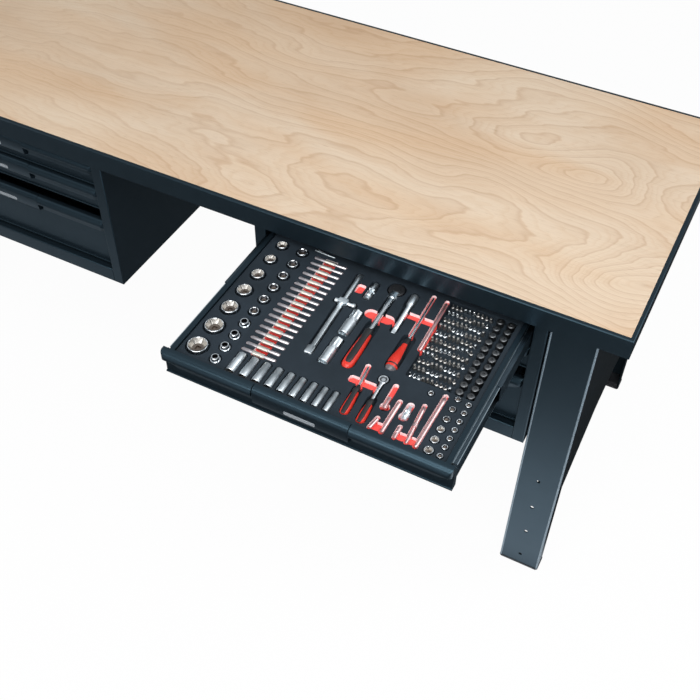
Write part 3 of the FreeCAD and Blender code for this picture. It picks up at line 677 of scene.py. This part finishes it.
def make_bit_sockets():
    """Screwdriver sockets in rows: a long round-ended blade through a short thick body."""
    maker = Maker()
    middle = sum(ROW_ENDS) / 2
    tip = (ROW_ENDS[0] - ROW_ENDS[1]) / 2
    blade = mirrored([(tip, 1.2), (tip + 0.7, 2.3), (tip + 2, 3.1), (tip + 20, 3.3)])
    body = mirrored([(-ROW_BODY / 2 + 0.2, 4.4), (-ROW_BODY / 2 + 0.9, 5)])
    for i in range(ROW_COUNT):
        start = spot(middle, ROW_FIRST + i * ROW_PITCH, FOAM_TOP - 1 * MM)
        along(maker, start, (1, 0, 0), blade)
        along(maker, start, (1, 0, 0), body, 1, 28)
    finishes = [ROD_CHROME, CREAM_CHROME]
    maker.finish("bit_sockets_in_rows", finishes, TOOL_BODY, ["bit_sockets"], "chromed_tool")


def make_screw_bits():
    """Screw bits on end in close rows, with tips of several kinds."""
    maker = Maker()
    chance = random.Random(4)
    for row in range(BIT_ROWS):
        for place in range(BIT_COLUMNS):
            high = 12.6 + (1.6 if (row + place // 4) % 2 else 0) + chance.uniform(-0.3, 0.3)
            tip = (1.5, 2.1, 1.1, 2.5)[(place // 3 + row) % 4]
            kind = "star" if (row + place // 3) % 2 else "square"
            bright = (row * 2 + place // 3) % 3 == 0
            stations = [(0, 3.3, "hex"), (high - 7.5, 3.3, "hex"), (high - 6.5, tip + 0.7),
                        (high - 0.8, tip, kind), (high, tip * 0.72, kind)]
            standing(maker, bit_place(row, BIT_LEFT + place * BIT_PITCH), stations, int(bright), 12)
    maker.finish("screw_bits_in_rows", [BIT_STEEL, CHROME], TOOL_BODY, ["screw_bits"], "bit_steel")


def lined_floor(radius):
    """Height of a lined slot's floor, which brings the bar's top level with the foam."""
    return FOAM_TOP - (2 * radius - 0.3) * MM


def lined_height(radius):
    """Height of the axis of a bar in a lined slot."""
    return lined_floor(radius) + radius * MM


def bar(maker, foot, head, stations, z, sides=28):
    """Bar from foot to head at a height, with stations in shares of its length."""
    low = Vector(foot)
    high = Vector(head)
    length = (high - low).length
    placed = [(share * length, *rest) for share, *rest in stations]
    along(maker, spot(*low, z), (*(high - low), 0), placed, sides=sides)


def scaled(radius, stations):
    """Stations whose radii were in shares of a radius."""
    return [(distance, radius * share, *rest) for distance, share, *rest in stations]


def plain(radius):
    """Stations of a bar with round ends."""
    return scaled(radius, [(0, 0.45), (0.015, 0.85), (0.04, 1), (0.96, 1), (0.985, 0.85), (1, 0.45)])


def headed(radius, head, start):
    """Stations of a bar with a thicker head."""
    return scaled(radius, [(0, 0.5), (0.02, 1), (start, 1)]) + scaled(
        head, [(start + 0.04, 1), (0.96, 1), (1, 0.5)])


def plug_socket(maker, u, v, radius, length):
    """Spark plug socket: long thick body with a hexagon behind a groove."""
    stations = [
        (12, radius * 0.5), (0.8, radius * 0.72, "hex"), (0, radius * 0.78), (0, radius - 0.9), (0.9, radius),
        (length * 0.55, radius), (length * 0.58, radius * 0.86), (length * 0.66, radius * 0.86),
        (length * 0.68, radius * 0.82, "hex"), (length - 1, radius * 0.82, "hex"), (length, radius * 0.6),
    ]
    along(maker, spot(u, v, lying_height(radius)), (0, 1, 0), stations, sides=36)


def universal_joint(maker, u, v, radius, length):
    """Two forks round a cross, with a square drive."""
    z = lying_height(radius)
    lower = [(0, 0.7), (0.8 / length, 1), (0.1, 1), (0.13, 0.88), (0.18, 0.88), (0.21, 1), (0.38, 1),
             (0.44, 0.6, "square"), (0.5, 0.5, "square")]
    upper = [(0.46, 0.5, "square"), (0.56, 0.85, "square"), (0.74, 0.85), (0.8, 0.5, "square"),
             (0.97, 0.5, "square"), (1, 0.4, "square")]
    for fork in (lower, upper):
        bar(maker, (u, v), (u, v + length), scaled(radius, fork), z)
    pin = [(-radius * 0.98, radius * 0.3), (radius * 0.98, radius * 0.3)]
    cross = spot(u, v + length * 0.48, z)
    along(maker, cross, (1, 0, 0), pin, sides=16)
    standing(maker, cross, pin, sides=16)


def make_bars():
    """Extension bars, keys, joints, plug sockets and the sliding T-bar."""
    maker = Maker()
    breaker = [(0, 6.5, "square"), (0.01, 7.6, "square"), (0.13, 7.6, "square"), (0.17, 5.4), (1, 5.4)]
    bar(maker, (-54.6, 116), (-60.6, 260), breaker, lying_height(8))
    slider = [(0, 5.4), (0.80, 5.4), (0.84, 5.8), (0.97, 5.8), (1, 4.6)]
    bar(maker, (-61, 272), (-64.3, 355), slider, lying_height(5.8))
    cross_bar = [(0, 3), (1.5, 5.2), (7, 5.2), (9, 7, "square"), (27, 7, "square"), (29, 4.2),
                 (36, 3.8), (38, 5.4), (43, 5.4), (45, 3.2)]
    along(maker, spot(-76, 266, FOAM_TOP - 0.5 * MM), (1, 0.02, 0), cross_bar)
    short_bar = [(0, 3.6, "square"), (0.01, 4.4, "square"), (0.11, 4.4, "square"), (0.13, 5.9), (0.7, 5.6),
                 (0.73, 7), (0.77, 8.4), (0.98, 8.4), (1, 6.8)]
    bar(maker, (61.6, 238.5), (57.6, 352), short_bar, lying_height(5.9))
    wire_height = FOAM_TOP + 0.4 * MM
    bar(maker, (-178, 373), (-131, 371), plain(1.7), wire_height, 12)
    bar(maker, (-172, 376.5), (-150, 372.5), plain(1.4), wire_height, 12)
    universal_joint(maker, -24, 296, 8, 50)
    universal_joint(maker, 168.3, 60, 6, 35)
    plug_socket(maker, -19.5, 190, 11, 66)
    plug_socket(maker, -19.1, 110, 10.4, 66)
    maker.finish("bars_and_joints", [SOFT_CHROME], TOOL_BODY, ["extension_bars"], "chromed_tool")


def make_lined_bars():
    """Thin bars that lie in the slots lined with red, tinted pink by a painted reflection of the lining."""
    maker = Maker()
    shapes = (plain(3.6), headed(4.2, 5, 0.78), plain(3.6), headed(3.4, 4.2, 0.8), headed(3.6, 4.6, 0.5),
              headed(4.4, 5.1, 0.84))
    for (foot, head, radius, _), stations in zip(LINED_BARS, shapes):
        bar(maker, foot, head, stations, lined_height(radius))
    ring = [(0, 3.4), (1, 6), (9, 6), (10, 3.4)]
    along(maker, spot(193.4, 51, lined_height(3.4)), (-0.05, 1, 0), ring, sides=28)
    extension = [(0, 0.6), (0.01, 1), (0.3, 1), (0.33, 0.72), (0.86, 0.72), (0.87, 0.66, "square"),
                 (0.985, 0.66, "square"), (1, 0.5, "square")]
    bar(maker, (127.6, 66), (126.5, 95), scaled(4.8, extension), lined_height(4.8))
    maker.finish("bars_in_red_slots", [CHROME_RED_REFLECTION], TOOL_BODY, slot="chromed_tool")


def oval_grip(maker, foot, head, half, thick, closed):
    """Ratchet grip: red oval rim round a black field, laid from foot to head."""
    low = Vector(foot)
    high = Vector(head)
    length = (high - low).length
    first = 0.10 if closed else -0.01
    rim = [(0, 0.35), (0.02, 0.62), (0.07, 0.86), (0.16, 0.97), (0.32, 1), (0.55, 0.95), (0.78, 0.84),
           (0.93, 0.76), (1, 0.62)]
    field = [(first, 0.22), (first + 0.02, 0.42), (0.2, 0.52), (0.36, 0.55), (0.6, 0.52), (0.8, 0.5),
             (0.95, 0.56), (1.03, 0.6)]
    for shape, z, depth, slot, sides in ((rim, GRIP_LINE, thick, ON_RED, 36),
                                         (field, GRIP_LINE + thick * 0.86 * MM, thick * 0.62, ON_BLACK, 28)):
        stations = [(length * t, half * w, "round", depth / half) for t, w in shape]
        along(maker, spot(*low, z), (*(high - low), 0), stations, slot, sides)


def ring_head(maker, centre, radius):
    """Chromed ring head with a dark star gear in it."""
    rim = [(-4, 0.9), (-3, 1), (3.4, 1), (4.2, 0.92), (4.2, 0.74), (2.6, 0.68)]
    gear = [(2, 0.66, "star"), (2.8, 0.66, "star"), (2.8, 0.4), (2.2, 0.36)]
    standing(maker, centre, scaled(radius, rim), ON_CHROME)
    standing(maker, centre, scaled(radius, gear), ON_DARK)


def knob_head(maker, high, way, radius, shaft):
    """Black round head with a knob, and the chromed yoke that holds it."""
    rim = [(-5, 0.9), (-4, 1), (3.6, 1), (5.2, 0.86), (5.2, 0.5), (6.4, 0.44)]
    standing(maker, spot(*high, GRIP_LINE), scaled(radius, rim), ON_BLACK)
    yoke = [(0, shaft * 1.3), (2, radius * 0.62, "round", 0.6), (9, radius * 0.66, "round", 0.6),
            (11, radius * 0.5, "round", 0.6)]
    start = high - way * (radius + 9)
    along(maker, spot(*start, GRIP_LINE + 1.2 * MM), (*way, 0), yoke, ON_CHROME, 28)


def ratchet(maker, foot, head, grip_share, head_radius, half, thick, ring):
    """Ratchet: grip, black collar, chromed shaft and head."""
    low = Vector(foot)
    high = Vector(head)
    way = (high - low).normalized()
    grip_end = low + way * (high - low).length * grip_share
    reach = (high - grip_end).length
    shaft = head_radius * (0.42 if ring else 0.36)
    collar = scaled(half, [(-6, 0.5, "round", 0.9), (-2, 0.72, "round", 0.8), (6, 0.66, "round", 0.8),
                           (11, 0.56, "round", 0.8)]) + [(12, shaft)]
    neck = [(8, shaft), (reach * 0.5, shaft * 0.95), (reach - head_radius * 1.3, shaft * 1.15),
            (reach - head_radius * 0.5, head_radius * 0.8, "round", 0.5)]
    oval_grip(maker, foot, grip_end, half, thick, not ring)
    start = spot(*grip_end, GRIP_LINE)
    along(maker, start, (*way, 0), collar, ON_BLACK)
    along(maker, start, (*way, 0), neck, ON_CHROME)
    if ring:
        ring_head(maker, spot(*high, GRIP_LINE), head_radius)
    else:
        knob_head(maker, high, way, head_radius, shaft)


def driver_handle(maker):
    """Screwdriver: banded cap, red body with black flanks, black neck and a thin blade."""
    outline = [(0, 5), (2, 8.4), (5, 10), (8, 11), (13, 11.8), (16, 12.2), (26, 12.5), (36, 11.4),
               (48, 9.4), (60, 7.4), (72, 6.2), (84, 5.6), (88, 5), (91, 3.4)]
    blade = [(0, 4.4), (3, 4.4), (4, 2.9), (121, 2.9), (123, 1.8, "square")]

    def colour(i, j):
        if i < 3:
            return ON_SMOKE
        if i == 3:
            return ON_RED
        if i == 4 or i >= 10:
            return ON_BLACK
        flank = j % 18 in (15, 16, 17, 0, 1, 2, 3)
        return ON_BLACK if flank else ON_RED

    stations = [(t, r, "round", 0.9) for t, r in outline]
    along(maker, spot(97, 150, GRIP_LINE), (-0.01, 1, 0), stations, sides=36, slots=colour)
    along(maker, spot(96.1, 239, GRIP_LINE), (-0.029, 1, 0), blade, ON_CHROME, 20)


def make_hand_tools():
    """Two ratchets, the small driver and the large screwdriver."""
    maker = Maker()
    ratchet(maker, (22.6, 119), (19.5, 346), 0.43, 16.5, 12.3, 8.5, False)
    ratchet(maker, (103.5, 15), (98.7, 125), 0.44, 9.6, 8.8, 7, True)
    oval_grip(maker, (69.7, 19), (66.5, 78), 9, 7, False)
    neck = [(0, 5.8, "round", 0.9), (8, 5.6, "round", 0.9), (18, 4.2), (20, 3)]
    along(maker, spot(66.8, 74, GRIP_LINE), (-0.09, 1, 0), neck, ON_BLACK, 28)
    blade = [(0, 2.8), (46, 2.8), (48, 1.8)]
    along(maker, spot(65, 94, GRIP_LINE), (-0.10, 1, 0), blade, ON_CHROME, 20)
    driver_handle(maker)
    finishes = [CHROME, GRIP_RED, GRIP_BLACK, DARK_STEEL, SMOKE]
    maker.finish("ratchets_and_drivers", finishes, TOOL_BODY, ["ratchet_heads", "tool_grips"], "grip_plastic")


# Foam

def red_pockets():
    """Outlines of the pockets lined with red, each with the height of its floor."""
    deep = RED_TOP
    shallow = FOAM_TOP - 8 * MM
    thin = FOAM_TOP - 6.4 * MM
    pockets = []
    for foot, head, radius, width in LINED_BARS:
        pockets.append((stadium(*foot, *head, width), lined_floor(radius)))
    pockets += [
        (stadium(95.5, 250, 92.6, 362, 10), thin), (stadium(65.6, 92, 59.8, 141, 10.5), thin),
        (rounded(66, 123, 286, 303, 4), shallow), (rounded(41, 96, 92, 109, 6), shallow),
        (stadium(3, 264, 14, 264, 24), shallow), (stadium(27, 264, 41, 264, 24), shallow),
        (rounded(-54, -37, 303, 328, 5), shallow), (stadium(127.6, 68, 125.8, 121, 11), lined_floor(4.8)),
        (disc(129, 68, 9.5), lined_floor(4.8)), (rounded(127, 146, 13, 33, 5), shallow),
        (stadium(168.3, 64, 168.6, 92, 14.5), deep), (disc(168, 63, 9.5), deep),
        (rounded(175, 192, 13, 31, 5), shallow), (rounded(196, 211, 13, 31, 5), shallow),
        (rounded(-146, -118, ROW_FIRST - 7, ROW_LAST + 7, 2), deep),
    ]
    for i in range(ROW_COUNT):
        v = ROW_FIRST + i * ROW_PITCH
        pockets.append((stadium(ROW_ENDS[0] + 3, v, ROW_ENDS[1] - 3, v, 7.4), FOAM_TOP - 4.4 * MM))
    return pockets


def dark_pockets():
    """Outlines of the pockets whose floor is black foam."""
    outlines = []
    for u, places, room in ((WIDE_COLUMN, WIDE_PLACES, 4), (NARROW_COLUMN, NARROW_PLACES, 4),
                            (RIGHT_COLUMN, RIGHT_PLACES, 1.5), (LAST_COLUMN, LAST_PLACES, 1.3)):
        outlines += [disc(u, v, radius + room) for v, radius in places]
    outlines.append(disc(*SINGLE_PLACE, 7.4))
    outlines += [rounded(u - radius - 1.4, u + radius + 1.4, 10.5, 62, 3) for u, radius in DEEP_PLACES]
    outlines += [
        stadium(-54.6, 125, -60.8, 258, 19), stadium(-61, 268, -64.3, 350, 15),
        rounded(-79, -28, 259, 274, 5), stadium(61.2, 246, 57.8, 344, 18), stadium(57.8, 318, 57.8, 344, 22),
        stadium(-24, 303, -24, 340, 20), rounded(-32, -7, 188, 259, 4), rounded(-31.5, -7, 108, 179, 4),
        stadium(22.8, 131, 21, 238, 28), stadium(21, 220, 19.6, 345, 18), disc(19.5, 346, 19.5),
        stadium(97, 163, 96.5, 236, 28), stadium(103.6, 24, 101.5, 72, 20), stadium(101, 66, 99, 120, 13),
        disc(98.7, 125, 12), stadium(69.8, 28, 67.4, 82, 20), stadium(67.4, 80, 66, 92, 14),
        rounded(BIT_LEFT - 6, 264, BIT_NEAR - 10, BIT_FAR + 9, 4),
    ]
    return outlines


def make_foam():
    """Black foam slab with every pocket cut into it, and red floors in the lined pockets."""
    half = (foam_high.x - foam_low.x) / MM / 2
    near = (foam_low.y - FRONT) / MM
    far = (foam_high.y - FRONT) / MM
    above = FOAM_TOP + 5 * MM
    under = RED_TOP - 0.5 * MM
    slab = Maker()
    cutter = Maker()
    liner = Maker()
    upright(slab, rounded(-half, half, near, far, 3), RED_TOP, FOAM_TOP)
    for outline in dark_pockets():
        upright(cutter, outline, RED_TOP + 0.3 * MM, above)
    row_field = rounded(-145.8, -118.2, ROW_FIRST - 6.8, ROW_LAST + 6.8, 2)
    # The field's floor takes the dark red, painted shade between the rows
    upright(liner, row_field, under, RED_TOP + 0.2 * MM, 1)
    for outline, floor in red_pockets():
        # The walls these cutters leave take the pale pink, a painted highlight
        upright(cutter, outline, RED_TOP - 2 * MM, above, 1)
        if floor > RED_TOP:
            upright(liner, outline, under, floor)
    finishes = [FOAM_DARK, FOAM_WALL_HIGHLIGHT]
    piece = slab.finish("foam_slab", finishes, TOOL_BODY, ["foam_top_layer"], "dark_foam")
    tool = cutter.finish("foam_cutter", finishes, TOOL_BODY)
    cut = piece.modifiers.new("pockets", "BOOLEAN")
    cut.operation = "DIFFERENCE"
    cut.solver = "EXACT"
    cut.object = tool
    cut.use_self = True
    apply_modifiers(piece)
    bpy.data.objects.remove(tool)
    piece.data.set_sharp_from_angle(angle=math.radians(40))
    liner.finish("red_foam_floors", [FOAM_RED, FOAM_RED_SHADE], TOOL_BODY, slot="red_foam")


def apply_modifiers(piece):
    """Replaces a piece's mesh with what its modifiers make of it."""
    bpy.context.view_layer.update()
    shape = bpy.data.meshes.new_from_object(piece.evaluated_get(bpy.context.evaluated_depsgraph_get()))
    piece.modifiers.clear()
    piece.data = shape


# Drawer fronts

GRIP_DEPTH = 46
GRIP_HALF = 97
GRIP_GAP = 1.5
END_ROUND = 32
CORNER_ROUND = 10
FRONT_SHEET = 1.5
SIDE_CUT = 16
# Distances from the drawer's end to the sections of an outer grip length
END_STEPS = (0, 0.5, 1.5, 3, 5, 7.5, 10, 14, 19, 25, 32)
# Bead along the foot of a front: out from its face and up from its lower edge
BEAD = ((0, 0), (0, 4.5), (-2, 4.5), (-2.7, 4.1), (-3, 3.4), (-3, 1), (-2, 0))
# Label plate, placed from the top of the front's face
PLATE_HALF = (32, 5)
PLATE_CORNER = 3.5
PLATE_PLACE = (0, -13, -29)
PLATE_DOWN = (0, 1.2, -12)
PLATE_OUT = (0, -12, -1.2)


def grip_section(outer):
    """Section of a grip length: millimetres out from the front and down from its top edge."""
    reach, drop = (GRIP_REACH, 15) if outer else (14, 13)
    start = 4.5
    points = [(0, 0)]
    for i in range(10):
        angle = math.radians(90 - 10 * i)
        points.append((start + (reach - start) * math.cos(angle), drop * (1 - math.sin(angle))))
    if outer:
        points += [(GRIP_REACH, 17.4), (16.1, 18.8), (15, 19.8)]
        for i in range(1, 9):
            t = i / 8
            points.append(((1 - t) ** 2 * 15 + 2 * t * (1 - t) * 4 + t * t * 0.8,
                           (1 - t) ** 2 * 19.8 + 2 * t * (1 - t) * 23 + t * t * GRIP_DEPTH))
    else:
        points += [(13.6, 24), (12.4, 36), (11.6, 39), (9.8, 41.2), (0.8, GRIP_DEPTH)]
    return points + [(0, GRIP_DEPTH)]


def rounded_limit(limit, radius, inward):
    """Limit of a section near an end that is rounded off by a radius."""
    if inward >= radius:
        return limit
    return limit - (radius - math.sqrt(radius ** 2 - (radius - inward) ** 2))


def grip_length(maker, top, ends, outer):
    """Grip length over some distances from the middle. An outer one ends in a rising curve."""
    rings = []
    for across, inward in ends:
        out_limit = rounded_limit(GRIP_REACH, CORNER_ROUND, inward)
        down_limit = rounded_limit(GRIP_DEPTH, END_ROUND, inward)
        rings.append([top + Vector((across, -min(out, out_limit), -min(down, down_limit))) * MM
                      for out, down in grip_section(outer)])
    maker.skin(rings)


def make_front(drawer):
    """Folded front of one drawer with its bead and its three grip lengths."""
    name = f"{drawer}_drawer_front"
    low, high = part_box(name)
    face = low.y + GRIP_REACH * MM
    sheet = FRONT_SHEET * MM
    half = (high.x - low.x) / 2 / MM
    top = Vector(((low.x + high.x) / 2, face, high.z))
    maker = Maker()
    maker.block(low.x, high.x, face, face + sheet, low.z, high.z)
    maker.block(low.x, high.x, face + sheet, high.y, low.z, low.z + sheet)
    for x in (low.x, high.x - sheet):
        maker.block(x, x + sheet, face + sheet, high.y, low.z + sheet, high.z - SIDE_CUT * MM)
    maker.skin([[Vector((x, face + y * MM, low.z + z * MM)) for y, z in BEAD] for x in (low.x, high.x)])
    right_ends = [(GRIP_HALF + GRIP_GAP, END_ROUND)] + [(half - step, step) for step in reversed(END_STEPS)]
    left_ends = [(-across, inward) for across, inward in reversed(right_ends)]
    grip_length(maker, top, [(-GRIP_HALF, END_ROUND), (GRIP_HALF, END_ROUND)], False)
    grip_length(maker, top, right_ends, True)
    grip_length(maker, top, left_ends, True)
    maker.finish(f"{drawer}_front_skin", [PAINT], f"{drawer}_drawer", [name], "blue_steel", 28)
    return top


def make_plate(drawer, top):
    """Bare label plate on the middle grip length of one drawer."""
    centre = top + Vector(PLATE_PLACE) * MM
    down = Vector(PLATE_DOWN).normalized()
    normal = Vector(PLATE_OUT).normalized()
    rings = []
    for out, inset in ((-0.5, 0), (0.5, 0), (0.9, 0.6)):
        half, width = (size - inset for size in PLATE_HALF)
        outline = rounded(-half, half, -width, width, PLATE_CORNER - inset)
        rings.append([centre + (Vector((u, 0, 0)) + down * w + normal * out) * MM for u, w in outline])
    plate = Maker()
    plate.skin(rings)
    plate.finish(f"{drawer}_label_plate", [LABEL_GREY], f"{drawer}_drawer", slot="blue_steel")


# Studio

FLOOR_HALF = 30
FLOOR_GLOW = 0.96
# Painted reflection: what the gloss sees of the floor from front to back, over a quarter of Y plus one
DIM = grey(0.03)
FLOOR_SHINE = [
    (0, (0.75, 0.82, 0.88)), (0.45, (0.45, 0.50, 0.54)), (0.62, (0.05, 0.055, 0.06)), (0.775, DIM),
    (0.83, (0.24, 0.27, 0.30)), (0.895, (1.15, 1.28, 1.40)), (0.95, (1.20, 1.33, 1.45)), (0.985, DIM),
]
# Painted shadow of the bench on the floor, seen only in reflections
BENCH_SHADOW_SHINE = (0.09, 0.10, 0.11)
# Painted shade in reflections, to the front left
LEFT_SHINE = (0.10, 0.11, 0.12)
OUTER_SHINE = (0.50, 0.55, 0.60)
# The sky from the horizon up, as light and as seen by the gloss
SKY_LIGHT = [
    (0, (0.78, 0.83, 0.87)), (0.2, (0.55, 0.59, 0.62)), (0.45, (0.26, 0.28, 0.30)),
    (0.75, (0.24, 0.26, 0.275)), (1, (0.36, 0.38, 0.40)),
]
SKY_SHINE = [
    (0, (0.60, 0.63, 0.66)), (0.14, (0.34, 0.36, 0.38)), (0.34, (0.05, 0.055, 0.06)),
    (0.5, (0.12, 0.13, 0.14)), (0.66, (0.4, 0.43, 0.46)), (0.82, (0.58, 0.61, 0.64)), (1, (0.9, 0.92, 0.94)),
]
# Name, place, width, depth and power of each lamp
LAMPS = (
    ("key", (1.2, -1.9, 3.5), 2.4, 2.4, 82), ("left", (-3, -0.9, 1.9), 1.6, 1.6, 8),
    ("front", (0.2, -3, 2.1), 2.2, 0.8, 30), ("over", (2.4, 0.9, 3.3), 1.2, 2.2, 26),
    ("low", (2, -1.9, 0.7), 0.9, 0.9, 4),
)
LAMP_AIM = (0.35, -0.1, 0.75)


def to_the_left(tree, place, end):
    """Mask of the sector to the front left."""
    sector = maths(tree, "MULTIPLY_ADD", place["Y"], 0.75, maths(tree, "MULTIPLY", place["X"], -1))
    return rise(tree, sector, 0, end)


def floor_shine(tree):
    """Floor as the gloss sees it, painted reflections: a bright strip by the legs, painted shadow below the
    bench, grey round it.
    """
    place = split_up(tree, place_of(tree))
    shown = ramp(tree, maths(tree, "MULTIPLY_ADD", place["Y"], 0.25, 1), FLOOR_SHINE)
    between = maths(tree, "MULTIPLY_ADD", place["X"], 0.5, 0.5)
    between = ramp(tree, between, [(0.2, grey(0.7)), (0.3, WHITE), (0.8, WHITE), (0.875, BLACK)])
    # Painted shadow below the bench
    under = rise(tree, maths(tree, "ADD", place["Y"], 1), 0.40, 0.50)
    shown = mixed(tree, maths(tree, "MULTIPLY", under, between), shown, BENCH_SHADOW_SHINE)
    behind = rise(tree, maths(tree, "MULTIPLY", place["Y"], 0.25), 0.33, 0.52)
    aside = maths(tree, "MULTIPLY", maths(tree, "ABSOLUTE", place["X"]), 0.25)
    aside = rise(tree, aside, 0.48, 0.70)
    shown = mixed(tree, maths(tree, "MAXIMUM", behind, aside), shown, OUTER_SHINE)
    far = rise(tree, maths(tree, "MULTIPLY", place["Y"], -0.5), 0.5, 0.65)
    return mixed(tree, maths(tree, "MULTIPLY", to_the_left(tree, place, 0.3), far), shown, LEFT_SHINE)


def make_floor():
    """White floor that keeps a soft shadow."""
    made, tree, shader = new_material("studio_floor", (0.9, 0.9, 0.9), 0.9)
    rays = add(tree, "ShaderNodeLightPath").outputs
    glow = add(tree, "ShaderNodeEmission", Color=(1, 1, 1, 1), Strength=1)
    shine = add(tree, "ShaderNodeEmission", Strength=1)
    tree.links.new(floor_shine(tree), shine.inputs["Color"])
    seen = maths(tree, "MAXIMUM", rays["Is Camera Ray"], rays["Is Transmission Ray"])
    seen = maths(tree, "MULTIPLY", seen, FLOOR_GLOW)
    surface = mixed_shader(tree, seen, shader.outputs["BSDF"], glow.outputs["Emission"])
    surface = mixed_shader(tree, rays["Is Glossy Ray"], surface, shine.outputs["Emission"])
    tree.links.new(surface, tree.nodes["Material Output"].inputs["Surface"])
    mesh = bpy.data.meshes.new("floor")
    corners = [(x * FLOOR_HALF, y * FLOOR_HALF, 0) for x, y in ((-1, -1), (1, -1), (1, 1), (-1, 1))]
    mesh.from_pydata(corners, [], [(0, 1, 2, 3)])
    mesh.materials.append(made)
    floor = put("floor", mesh)


def sky_shine(tree, place):
    """Sky as the gloss sees it, with a shaded part low at the front left."""
    shine = ramp(tree, place["Z"], SKY_SHINE)
    ahead = rise(tree, maths(tree, "MULTIPLY", place["Y"], -1), 0.1, 0.3)
    low = ramp(tree, place["Z"], [(0.35, WHITE), (0.5, BLACK)])
    sector = maths(tree, "MULTIPLY", to_the_left(tree, place, 0.12), ahead)
    return mixed(tree, maths(tree, "MULTIPLY", sector, low), shine, LEFT_SHINE)


def make_sky():
    """Sky that is pale near the ground and dark above, and white to the camera."""
    world = bpy.data.worlds.new("studio")
    bpy.context.scene.world = world
    world.use_nodes = True
    tree = world.node_tree
    sky = tree.nodes["Background"]
    sky.inputs["Strength"].default_value = 1
    rays = add(tree, "ShaderNodeLightPath").outputs
    place = split_up(tree, add(tree, "ShaderNodeTexCoord").outputs["Generated"])
    light = ramp(tree, place["Z"], SKY_LIGHT)
    tree.links.new(mixed(tree, rays["Is Glossy Ray"], light, sky_shine(tree, place)), sky.inputs["Color"])
    white = add(tree, "ShaderNodeBackground", Color=(1, 1, 1, 1), Strength=1)
    dome = sky.outputs["Background"]
    surface = mixed_shader(tree, rays["Is Camera Ray"], dome, white.outputs["Background"])
    tree.links.new(surface, tree.nodes["World Output"].inputs["Surface"])


def make_lamps():
    """Soft lamps round the bench."""
    for name, place, wide, deep, power in LAMPS:
        lamp = bpy.data.lights.new(name, "AREA")
        lamp.shape = "RECTANGLE"
        lamp.size = wide
        lamp.size_y = deep
        lamp.energy = power
        piece = put(name, lamp)
        piece.location = place
        piece.rotation_euler = (Vector(LAMP_AIM) - Vector(place)).to_track_quat("-Z", "Y").to_euler()


def turned(degrees, axis):
    """Rotation about an axis."""
    return Matrix.Rotation(math.radians(degrees), 4, axis)


def make_camera():
    """Camera at the photograph's angle."""
    data = bpy.data.cameras.new("camera")
    data.lens = CAMERA_LENS
    data.sensor_width = CAMERA_SENSOR
    data.shift_y = CAMERA_SHIFT_UP
    camera = put("camera", data)
    turn = turned(-CAMERA_YAW, "Z") @ turned(90 - CAMERA_PITCH, "X") @ turned(-CAMERA_ROLL, "Z")
    camera.matrix_world = Matrix.Translation(CAMERA_PLACE) @ turn
    bpy.context.scene.camera = camera


dress_nodes()
make_standing_sockets()
make_deep_sockets()
make_bit_sockets()
make_screw_bits()
make_bars()
make_lined_bars()
make_hand_tools()
make_foam()
for drawer in DRAWERS:
    make_plate(drawer, make_front(drawer))
make_leg_folds()
make_slide_edges()
make_floor()
make_sky()
make_lamps()
make_camera()
bpy.context.scene.view_settings.view_transform = "Standard"
